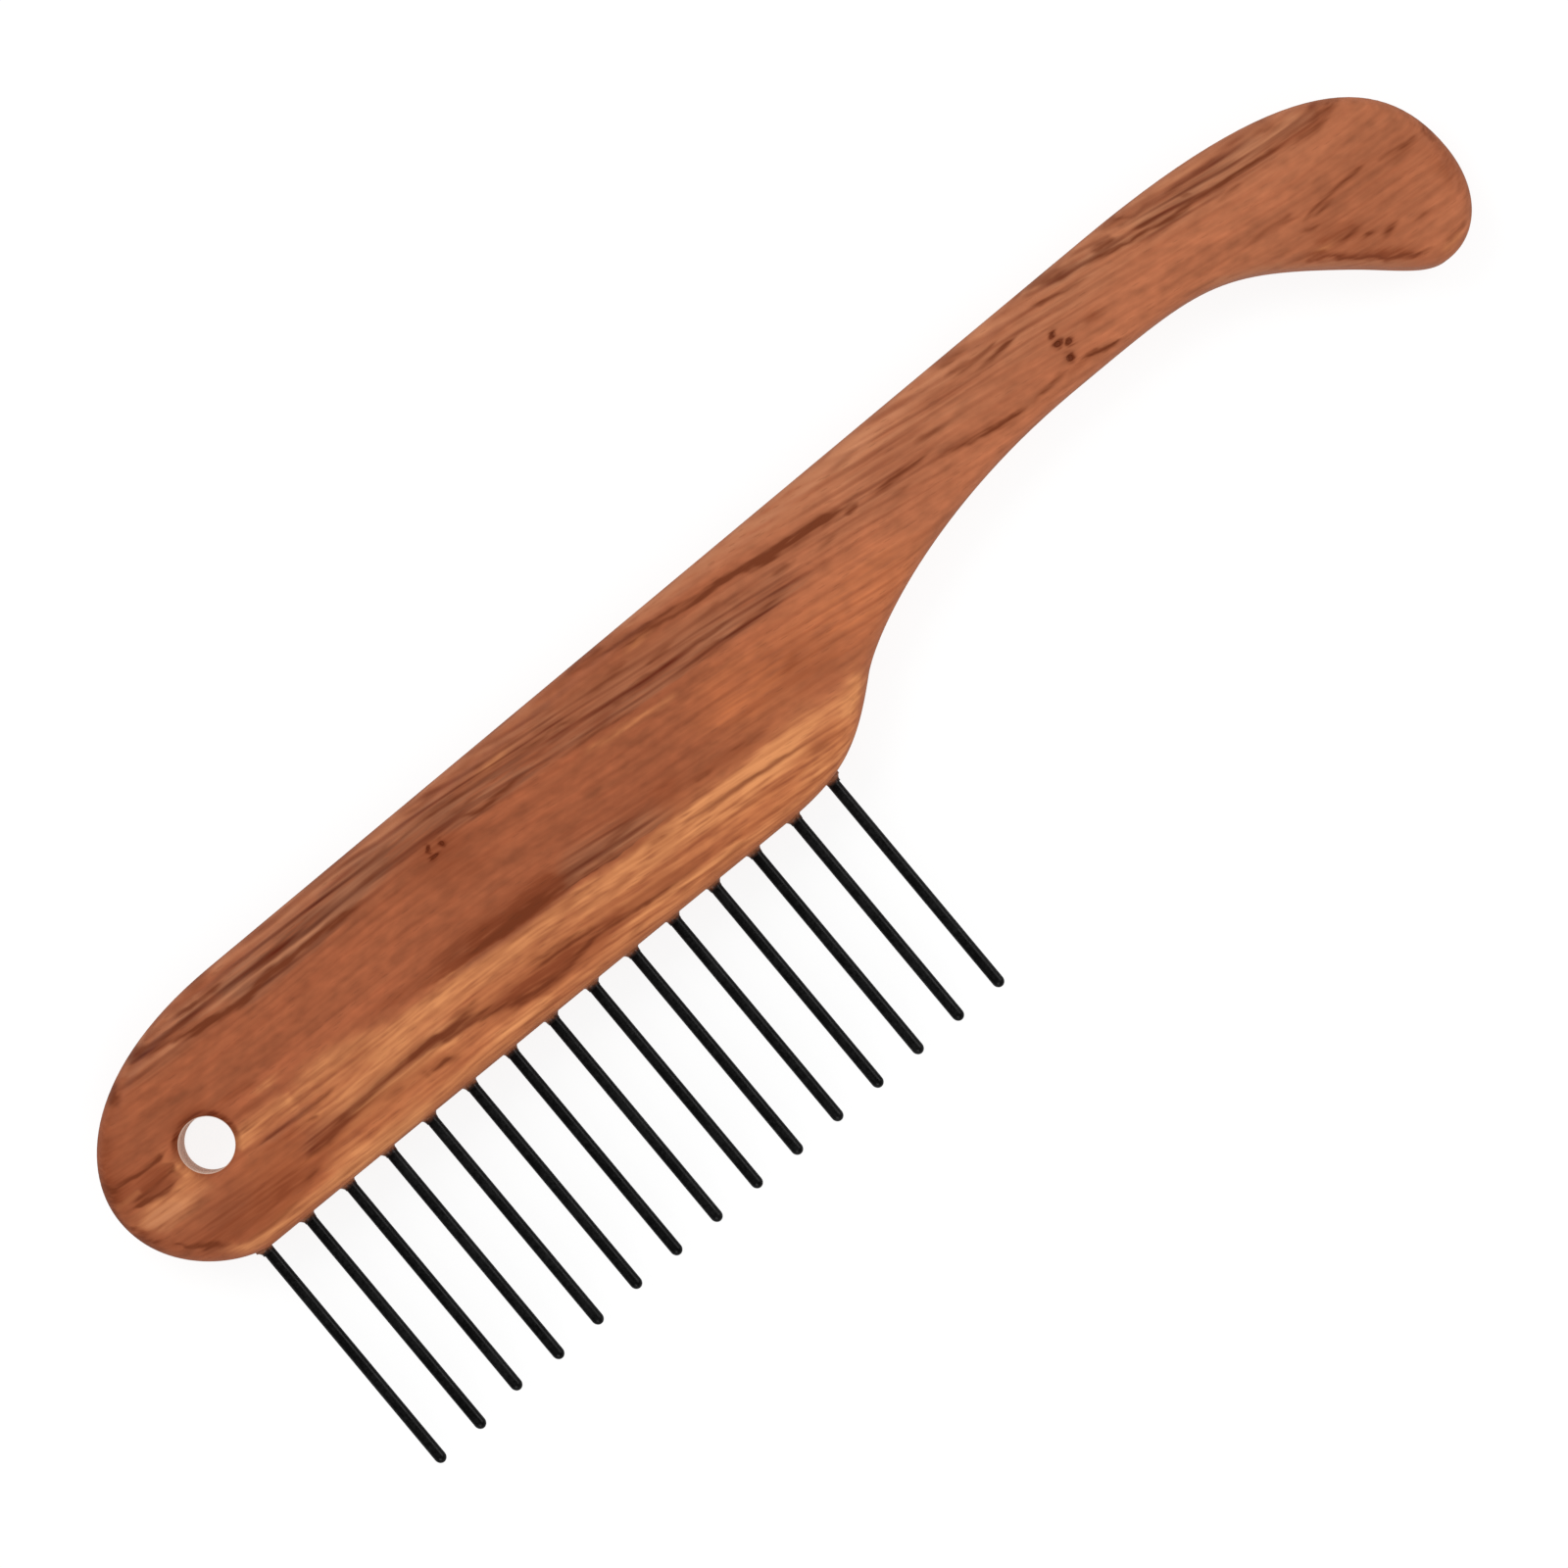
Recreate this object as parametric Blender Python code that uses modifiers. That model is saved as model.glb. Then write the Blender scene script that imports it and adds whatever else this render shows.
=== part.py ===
"""Wooden grooming comb with a row of coated steel pins, in metres, +Z up.

The comb lies on its back face. +X runs along the straight back edge towards the end of the grip, the
pins point along -Y, and the origin is on the resting face, under the middle of the overall box.

Places along the comb are measured from the nose of the head, and places across it are depths below
the back edge, as they would be marked out on the board.
"""

import math
from collections import namedtuple

import bmesh
import bpy
from mathutils import Vector
from mathutils.geometry import interpolate_bezier

# The board and its rounded edges.
THICKNESS = 0.0120
EDGE_ROUND = 0.0030

# The head: how deep it is at each end of the toothed edge, and its round nose.
HEAD_DEPTH_AT_NOSE = 0.0362
HEAD_DEPTH_AT_GRIP = 0.0370
NOSE_DEPTH = 0.0199
NOSE_BACK_RUN = 0.0328
NOSE_FRONT_RUN = 0.0152

# The grip, from the last pin to its end, with the hollow for the fingers and the bulb behind it.
GRIP_LENGTH = 0.1254
CORNER_BEFORE_LAST_PIN = 0.0095
NECK_AFTER_LAST_PIN = 0.0138
NECK_DEPTH = 0.0282
NECK_SLOPE = math.radians(-41.6)
WAIST_FROM_END = 0.0629
WAIST_DEPTH = 0.0158
BULB_FROM_END = 0.0212
BULB_DEPTH = 0.0277
BULB_SLOPE = math.radians(39.0)
HEEL_FROM_END = 0.0097
HEEL_DEPTH = 0.0356
END_DEPTH = 0.0230
END_BACK_RUN = 0.0479

# The hanging hole.
HANG_HOLE_DIAMETER = 0.0081
HANG_HOLE_FROM_NOSE = 0.0168
HANG_HOLE_DEPTH = 0.0193
HANG_HOLE_EDGE_ROUND = 0.0006

# The pins. A pin's reach is what shows below the toothed edge, and its seat is what the wood hides.
PIN_COUNT = 15
PIN_PITCH = 0.0075
PIN_DIAMETER = 0.0018
PIN_REACH = 0.0381
PIN_SEAT = 0.0100
PIN_TIP_LENGTH = 0.0010
PIN_SHANK_CHAMFER = 0.0003
FIRST_PIN_FROM_NOSE = 0.0134
# The first pins aren't driven quite home, so they stand out this much further than the rest.
PIN_STANDOUT = (0.0012, 0.0011, 0.0002, 0.0006, 0.0004)

# The resin beads round the roots of the pins: how far one stands out of the wood, how much wider its
# foot is than its lip, and how far its blank starts inside the wood before its foot is cut.
BEAD_HEIGHT = 0.0009
BEAD_FLARE = 0.0003
BEAD_LIP = 0.0001
BEAD_SINK = 0.0020

# The glue line: what a pin keeps to its drilled hole, and a bead to the pin and to the wood.
GLUE_LINE = 0.0002
HOLE_END_CLEARANCE = 0.0003

# The pull of a Bezier handle on a straight span.
STRAIGHT_PULL = 0.33

# How finely the round shapes are drawn.
OUTLINE_STEPS = 14
EDGE_STEPS = 3
HANG_HOLE_SIDES = 40
HANG_HOLE_EDGE_STEPS = 3
PIN_SIDES = 14
TIP_STEPS = 4
BEAD_STEPS = 4
SMOOTH_UP_TO = math.radians(35.0)
CUTTER_OVERRUN = 0.0010
WELD = 0.000001

ROW_END = FIRST_PIN_FROM_NOSE + (PIN_COUNT - 1) * PIN_PITCH
BODY_LENGTH = ROW_END + GRIP_LENGTH
PIN_RADIUS = PIN_DIAMETER / 2
PIN_LENGTH = PIN_SEAT + PIN_REACH
DRILL_RADIUS = PIN_RADIUS + GLUE_LINE
TIP_DEPTH = (HEAD_DEPTH_AT_NOSE + HEAD_DEPTH_AT_GRIP) / 2 + PIN_REACH
OVERALL_DEPTH = TIP_DEPTH + max(PIN_STANDOUT[:PIN_COUNT])
MID_THICKNESS = THICKNESS / 2

# The knots between which the toothed edge runs, counted along the outline.
NOSE_KNOT = 1
NECK_KNOT = 4

Knot = namedtuple("Knot", "along depth heading pull_in pull_out")
Finish = namedtuple("Finish", "name colour metallic roughness")

HARDWOOD = Finish("oiled_hardwood", (0.36, 0.13, 0.055), 0.0, 0.45)
COATED_STEEL = Finish("black_coated_steel", (0.012, 0.012, 0.013), 0.3, 0.42)
RESIN = Finish("amber_resin", (0.16, 0.055, 0.02), 0.0, 0.30)


def place(along, depth, height=MID_THICKNESS):
    """The world place of a point marked out on the board."""
    return Vector((along - BODY_LENGTH / 2, OVERALL_DEPTH / 2 - depth, height))


def clear_scene():
    for obj in list(bpy.data.objects):
        bpy.data.objects.remove(obj, do_unlink=True)


def collection_for(name, parent=None):
    collection = bpy.data.collections.new(name)
    (parent or bpy.context.scene.collection).children.link(collection)
    return collection


def material_for(finish):
    material = bpy.data.materials.new(finish.name)
    material.use_nodes = True
    shader = material.node_tree.nodes["Principled BSDF"]
    shader.inputs["Base Color"].default_value = (*finish.colour, 1.0)
    shader.inputs["Metallic"].default_value = finish.metallic
    shader.inputs["Roughness"].default_value = finish.roughness
    material.diffuse_color = (*finish.colour, 1.0)
    return material


def link_object(name, data, collection, parent=None):
    obj = bpy.data.objects.new(name, data)
    obj.parent = parent
    collection.objects.link(obj)
    return obj


def as_cutter(obj):
    obj.hide_render = True
    obj.display_type = "WIRE"
    return obj


def outline_knots():
    """The knots of the outline, anticlockwise from the nose end of the straight back edge.

    A heading of 0 runs along the comb to the end of the grip, and a positive heading turns towards
    the pins. A pull is a handle's length as a share of the span that it shapes, and a full curve has
    long ones.
    """
    end = BODY_LENGTH
    edge_start = NOSE_FRONT_RUN
    edge_end = ROW_END - CORNER_BEFORE_LAST_PIN
    edge_drop = HEAD_DEPTH_AT_GRIP - HEAD_DEPTH_AT_NOSE
    edge_slope = math.atan2(edge_drop, edge_end - edge_start)
    to_nose = math.pi
    to_pins = math.pi / 2
    return [
        Knot(NOSE_BACK_RUN, 0.0, to_nose, STRAIGHT_PULL, 0.59),
        Knot(0.0, NOSE_DEPTH, to_pins, 0.25, 0.45),
        Knot(edge_start, HEAD_DEPTH_AT_NOSE, edge_slope, 0.24, STRAIGHT_PULL),
        Knot(edge_end, HEAD_DEPTH_AT_GRIP, edge_slope, STRAIGHT_PULL, 0.44),
        Knot(ROW_END + NECK_AFTER_LAST_PIN, NECK_DEPTH, NECK_SLOPE, 0.43, 0.11),
        Knot(end - WAIST_FROM_END, WAIST_DEPTH, 0.0, 0.53, 0.55),
        Knot(end - BULB_FROM_END, BULB_DEPTH, BULB_SLOPE, 0.45, 0.45),
        Knot(end - HEEL_FROM_END, HEEL_DEPTH, 0.0, 0.25, 0.35),
        Knot(end, END_DEPTH, -to_pins, 0.47, 0.27),
        Knot(end - END_BACK_RUN, 0.0, to_nose, 0.70, STRAIGHT_PULL),
    ]


def outline_spans():
    """The outline's Bezier spans as start, leaving handle, arriving handle and end, on the board."""
    knots = outline_knots()
    spans = []
    for here, there in zip(knots, knots[1:] + knots[:1]):
        start = Vector((here.along, here.depth))
        finish = Vector((there.along, there.depth))
        length = (finish - start).length
        leaving = Vector((math.cos(here.heading), math.sin(here.heading)))
        arriving = Vector((math.cos(there.heading), math.sin(there.heading)))
        leave = start + leaving * length * here.pull_out
        arrive = finish - arriving * length * there.pull_in
        spans.append((start, leave, arrive, finish))
    return spans


def outline_curve(name, inset, half_height, edge_round):
    """The comb's outline as a filled flat curve, its sides set in by inset and its edges rounded."""
    curve = bpy.data.curves.new(name, "CURVE")
    curve.dimensions = "2D"
    curve.fill_mode = "BOTH"
    curve.resolution_u = OUTLINE_STEPS
    curve.extrude = half_height - edge_round
    curve.bevel_depth = edge_round
    curve.bevel_resolution = EDGE_STEPS
    curve.offset = -inset
    spans = outline_spans()
    spline = curve.splines.new("BEZIER")
    spline.bezier_points.add(len(spans) - 1)
    spline.use_cyclic_u = True
    for before, span, point in zip(spans[-1:] + spans[:-1], spans, spline.bezier_points):
        point.handle_left_type = "FREE"
        point.handle_right_type = "FREE"
        point.co = place(*span[0], 0.0)
        point.handle_left = place(*before[2], 0.0)
        point.handle_right = place(*span[1], 0.0)
    return curve


def refill_caps(shape):
    """Trades the fill of a flat curve for one whole face on each side, welded to the rim."""
    fill = []
    for face in shape.faces:
        heights = [vert.co.z for vert in face.verts]
        if max(heights) - min(heights) < WELD:
            fill.append(face)
    bmesh.ops.delete(shape, geom=fill, context="FACES")
    bmesh.ops.remove_doubles(shape, verts=shape.verts, dist=WELD)
    bmesh.ops.holes_fill(shape, edges=shape.edges)


def mesh_from_curve(curve, name, collection, parent):
    """A solid made from a filled flat curve that lies at half the thickness."""
    guide = link_object(name + "_outline", curve, collection)
    guide.location.z = MID_THICKNESS
    bpy.context.view_layer.update()
    graph = bpy.context.evaluated_depsgraph_get()
    mesh = bpy.data.meshes.new_from_object(guide.evaluated_get(graph))
    mesh.name = name
    solid = link_object(name, mesh, collection, parent)
    solid.matrix_world = guide.matrix_world.copy()
    bpy.data.objects.remove(guide, do_unlink=True)
    shape = bmesh.new()
    shape.from_mesh(mesh)
    refill_caps(shape)
    bmesh.ops.recalc_face_normals(shape, faces=shape.faces)
    shape.to_mesh(mesh)
    shape.free()
    return solid


def turned(name, profile, closed=False):
    """A mesh holding a profile of (radius, height) points for a Screw round its Z axis."""
    shape = bmesh.new()
    points = [shape.verts.new((radius, 0.0, height)) for radius, height in profile]
    for first, second in zip(points, points[1:]):
        shape.edges.new((first, second))
    if closed:
        shape.edges.new((points[-1], points[0]))
    mesh = bpy.data.meshes.new(name)
    shape.to_mesh(mesh)
    shape.free()
    return mesh


def add_screw(obj, sides):
    screw = obj.modifiers.new("turned", "SCREW")
    screw.axis = "Z"
    screw.steps = sides
    screw.render_steps = sides
    screw.use_merge_vertices = True
    screw.merge_threshold = WELD
    screw.use_smooth_shade = True


def add_cut(obj, name, **operand):
    cut = obj.modifiers.new(name, "BOOLEAN")
    cut.operation = "DIFFERENCE"
    cut.solver = "EXACT"
    for key, value in operand.items():
        setattr(cut, key, value)


def pin_along(index):
    return FIRST_PIN_FROM_NOSE + index * PIN_PITCH


def pin_standout(index):
    return PIN_STANDOUT[index] if index < len(PIN_STANDOUT) else 0.0


def shank_end_depth(index):
    """How far below the back edge the hidden end of a pin is."""
    return TIP_DEPTH + pin_standout(index) - PIN_LENGTH


def edge_depth(along):
    """The depth of the toothed edge at a place along the head, read off the outline."""
    for span in outline_spans()[NOSE_KNOT:NECK_KNOT]:
        points = interpolate_bezier(*span, OUTLINE_STEPS + 1)
        for left, right in zip(points, points[1:]):
            if left.x <= along <= right.x:
                share = (along - left.x) / (right.x - left.x)
                return left.y + share * (right.y - left.y)
    return HEAD_DEPTH_AT_GRIP


def stand_on_row(obj, along, depth):
    """Places a turned piece on the pin row, its height pointing along the pins."""
    obj.location = place(along, depth)
    obj.rotation_euler = (math.pi / 2, 0.0, 0.0)
    return obj


def hang_hole_profile():
    """The hanging hole with its rounded rims, from past the front face to past the back face."""
    bore = HANG_HOLE_DIAMETER / 2
    rim = HANG_HOLE_EDGE_ROUND
    quarter = [math.pi / 2 * i / HANG_HOLE_EDGE_STEPS for i in range(HANG_HOLE_EDGE_STEPS + 1)]
    upper = [
        (bore + rim * (1 - math.sin(turn)), MID_THICKNESS - rim * (1 - math.cos(turn)))
        for turn in quarter
    ]
    lower = [(radius, -height) for radius, height in reversed(upper)]
    mouth = bore + rim
    past = MID_THICKNESS + CUTTER_OVERRUN
    return [(0.0, past), (mouth, past), *upper, *lower, (mouth, -past), (0.0, -past)]


def drill_profile():
    """A drill as long as a blind hole and its run out past the toothed edge, standing on z = 0."""
    length = PIN_SEAT + HOLE_END_CLEARANCE + PIN_REACH / 2
    return [(0.0, length), (DRILL_RADIUS, length), (DRILL_RADIUS, 0.0), (0.0, 0.0)]


def pin_profile():
    """A pin from its domed tip down to the chamfered end of its shank."""
    quarter = [math.pi / 2 * i / TIP_STEPS for i in range(TIP_STEPS + 1)]
    start = PIN_LENGTH - PIN_TIP_LENGTH
    dome = [
        (PIN_RADIUS * math.sin(turn), start + PIN_TIP_LENGTH * math.cos(turn))
        for turn in quarter
    ]
    shank = [
        (PIN_RADIUS, PIN_SHANK_CHAMFER),
        (PIN_RADIUS - PIN_SHANK_CHAMFER, 0.0),
        (0.0, 0.0),
    ]
    return [*dome, *shank]


def bead_profile():
    """A bead's section: a hollow flare down to its foot, then the bore back up round the pin."""
    bore = PIN_RADIUS + GLUE_LINE
    lip = bore + BEAD_LIP
    foot = lip + BEAD_FLARE
    rise = BEAD_HEIGHT - GLUE_LINE
    quarter = [math.pi / 2 * i / BEAD_STEPS for i in range(BEAD_STEPS + 1)]
    flare = [
        (foot - BEAD_FLARE * math.cos(turn), BEAD_HEIGHT - rise * math.sin(turn))
        for turn in quarter
    ]
    return [(bore, BEAD_HEIGHT), *flare, (foot, -BEAD_SINK), (bore, -BEAD_SINK)]


def make_cutters(collection):
    """The drills, the hanging hole's cutter, and the block that the beads' feet are cut to."""
    drills = collection_for("drills", collection)
    mesh = turned("drill", drill_profile())
    for index in range(PIN_COUNT):
        drill = link_object(f"drill_{index + 1:02d}", mesh, drills)
        add_screw(drill, PIN_SIDES)
        stand_on_row(drill, pin_along(index), shank_end_depth(index) - HOLE_END_CLEARANCE)
        as_cutter(drill)
    bore_mesh = turned("hang_hole", hang_hole_profile())
    bore = link_object("hang_hole_cutter", bore_mesh, drills)
    add_screw(bore, HANG_HOLE_SIDES)
    bore.location = place(HANG_HOLE_FROM_NOSE, HANG_HOLE_DEPTH)
    as_cutter(bore)
    curve = outline_curve("bead_seat", -GLUE_LINE, MID_THICKNESS, 0.0)
    seat = as_cutter(mesh_from_curve(curve, "bead_seat", collection, None))
    return drills, seat


def make_handle(collection, parent, drills):
    curve = outline_curve("handle", EDGE_ROUND, MID_THICKNESS, EDGE_ROUND)
    handle = mesh_from_curve(curve, "handle", collection, parent)
    handle.data.materials.clear()
    handle.data.materials.append(material_for(HARDWOOD))
    handle.data.shade_smooth()
    handle.data.set_sharp_from_angle(angle=SMOOTH_UP_TO)
    add_cut(handle, "drilled", operand_type="COLLECTION", collection=drills)
    return handle


def make_pins(collection, parent):
    mesh = turned("pin", pin_profile())
    mesh.materials.append(material_for(COATED_STEEL))
    for index in range(PIN_COUNT):
        pin = link_object(f"pin_{index + 1:02d}", mesh, collection, parent)
        add_screw(pin, PIN_SIDES)
        stand_on_row(pin, pin_along(index), shank_end_depth(index))


def make_beads(collection, parent, seat):
    mesh = turned("bead", bead_profile(), closed=True)
    mesh.materials.append(material_for(RESIN))
    for index in range(PIN_COUNT):
        bead = link_object(f"bead_{index + 1:02d}", mesh, collection, parent)
        add_screw(bead, PIN_SIDES)
        add_cut(bead, "foot", object=seat)
        stand_on_row(bead, pin_along(index), edge_depth(pin_along(index)))


def main():
    clear_scene()
    comb = collection_for("grooming_comb")
    cutters = collection_for("cutters")
    origin = link_object("comb_origin", None, comb)
    drills, seat = make_cutters(cutters)
    make_handle(comb, origin, drills)
    make_pins(comb, origin)
    make_beads(comb, origin, seat)


main()
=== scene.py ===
"""Looks of a wooden grooming comb with a row of coated steel pins, in metres, +Z up.

The comb lies on the floor on its back face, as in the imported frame. Places on the handle are
marked out as on the board that it is cut from: millimetres along from the nose, and millimetres
of depth below the straight back edge.
"""

from __future__ import annotations

import logging
import math
import random
from dataclasses import dataclass
from enum import Enum

import bmesh
import bpy
from mathutils import Matrix, Vector


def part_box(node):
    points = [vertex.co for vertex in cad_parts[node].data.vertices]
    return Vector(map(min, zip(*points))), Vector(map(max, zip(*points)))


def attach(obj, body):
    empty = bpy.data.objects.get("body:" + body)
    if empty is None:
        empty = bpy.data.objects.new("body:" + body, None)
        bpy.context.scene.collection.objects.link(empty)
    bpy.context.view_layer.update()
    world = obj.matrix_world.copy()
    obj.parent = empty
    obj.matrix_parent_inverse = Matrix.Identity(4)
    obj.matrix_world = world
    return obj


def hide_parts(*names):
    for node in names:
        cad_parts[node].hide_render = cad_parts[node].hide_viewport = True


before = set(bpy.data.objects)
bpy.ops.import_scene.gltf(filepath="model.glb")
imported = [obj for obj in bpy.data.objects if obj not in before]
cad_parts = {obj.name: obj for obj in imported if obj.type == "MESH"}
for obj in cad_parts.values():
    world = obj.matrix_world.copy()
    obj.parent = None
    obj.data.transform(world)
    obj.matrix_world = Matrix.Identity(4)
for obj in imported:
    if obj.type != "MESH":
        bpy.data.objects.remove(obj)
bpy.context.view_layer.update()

LOG = logging.getLogger("grooming_comb")
MM = 0.001
MM_PER_CM = 10.0
BODY = "root"
WELD = 1e-7
CLIMB = "climb"
# The greatest depth on the board that a path can be given, in mm.
DEEPEST = 60.0
# The share of its width that a streak keeps at its ends.
BLUNTNESS = 0.4
# How fast an oval falls off, and how far out it has done so.
OVAL_FALL = -2.2
OVAL_REACH = 1.5
# The middle of a noise's range, and the part of it that a mottle uses.
NOISE_MIDDLE = 0.5
NOISE_RANGE = (0.32, 0.68)

Triple = tuple[float, float, float]
Colour = Triple
Pair = tuple[float, float]
Path = tuple[Pair, ...]
# The size of a mottle's clouds and of its flecks, in mm, and the values that it runs between.
Mottle = tuple[float, float, float, float]
Value = "float | Triple | Wire"

WHITE: Colour = (1.0, 1.0, 1.0)


class Slot(Enum):
    """The record's material slots."""

    HARDWOOD = "hardwood"
    PIN_COATING = "pin_coating"
    RESIN = "resin"


class Shade(Enum):
    """The colours that the figure and the painted edge sheen and shade run to, in the order laid.
    """

    AMBER = (0.60, 0.172, 0.056)
    UMBER = (0.243, 0.084, 0.041)
    HONEY = (0.70, 0.272, 0.104)
    BLUSH = (0.50, 0.192, 0.092)
    RUSSET = (0.245, 0.055, 0.018)
    DARK = (0.168, 0.035, 0.010)


# How much the fine lines of the wood show in the shades that are laid below them.
LINED = {Shade.AMBER: 0.5, Shade.UMBER: 1.4, Shade.HONEY: 0.15}


class Layer(Enum):
    """The layers of the wood's own grain: each one's size along, across and through, and detail."""

    STRAND = ((12.0, 0.8, 2.0), 2.0)
    THREAD = ((12.0, 0.85, 1.4), 1.0)
    FIBRE = ((3.6, 0.40, 0.6), 0.6)
    FLECK = ((2.6, 1.3, 1.4), 1.6)
    WOBBLE = ((3.0, 1.6, 1.6), 1.0)
    CLOUD = ((40.0, 3.6, 5.0), 2.0)
    DRIFT = ((34.0, 3.6, 4.5), 1.0)


Weights = tuple[tuple[Layer, float], ...]


@dataclass(frozen=True)
class Streak:
    """A line or band drawn out along the grain, or along a rounded edge as painted sheen and shade.

    It fades out over above and below, in mm on either side of its path, so that a band can have
    one soft edge and one crisp one.
    """

    above: float
    below: float
    strength: float
    path: Path
    fade: float = 3.0


@dataclass(frozen=True)
class Patch:
    """A soft oval, centred on the board in mm, tilted by its drop in mm for each mm along."""

    centre: Pair
    half_length: float
    half_depth: float
    strength: float
    tilt: float = 0.0
    softness: float = 1.0


@dataclass(frozen=True)
class Knot:
    """A knot of the handle's outline, with its place and its heading in degrees.

    Its pulls are the lengths of its two handles, as shares of the way to the knots before and
    after it.
    """

    along: float
    depth: float
    heading: float
    pull_in: float
    pull_out: float


@dataclass(frozen=True)
class Bore:
    """The hanging hole's place and radius on the board, in mm."""

    along: float
    depth: float
    radius: float


@dataclass(frozen=True)
class Pit:
    """A small hollow in the upper face, where the grain has torn out."""

    along: float
    depth: float
    half_length: float
    half_depth: float
    sink: float


HANGING_HOLE = Bore(16.8, 19.3, 4.05)
PITS = (
    Pit(183.3, 7.8, 0.42, 0.36, 0.22),
    Pit(182.9, 9.25, 0.55, 0.42, 0.28),
    Pit(184.4, 10.0, 0.50, 0.38, 0.24),
    Pit(183.0, 11.9, 0.55, 0.50, 0.34),
    Pit(68.1, 7.2, 0.26, 0.42, 0.16),
    Pit(68.1, 8.55, 0.70, 0.22, 0.18),
    Pit(70.1, 7.7, 0.28, 0.40, 0.14),
)
# How far the grain has drifted towards the pins at places along the board, in mm.
GRAIN_DRIFT = (
    (0.0, 0.0),
    (37.0, 2.6),
    (60.0, 3.2),
    (97.0, 7.0),
    (123.0, 10.0),
    (174.0, 17.0),
    (200.0, 20.6),
    (225.0, 24.2),
    (244.0, 25.8),
)
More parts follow.
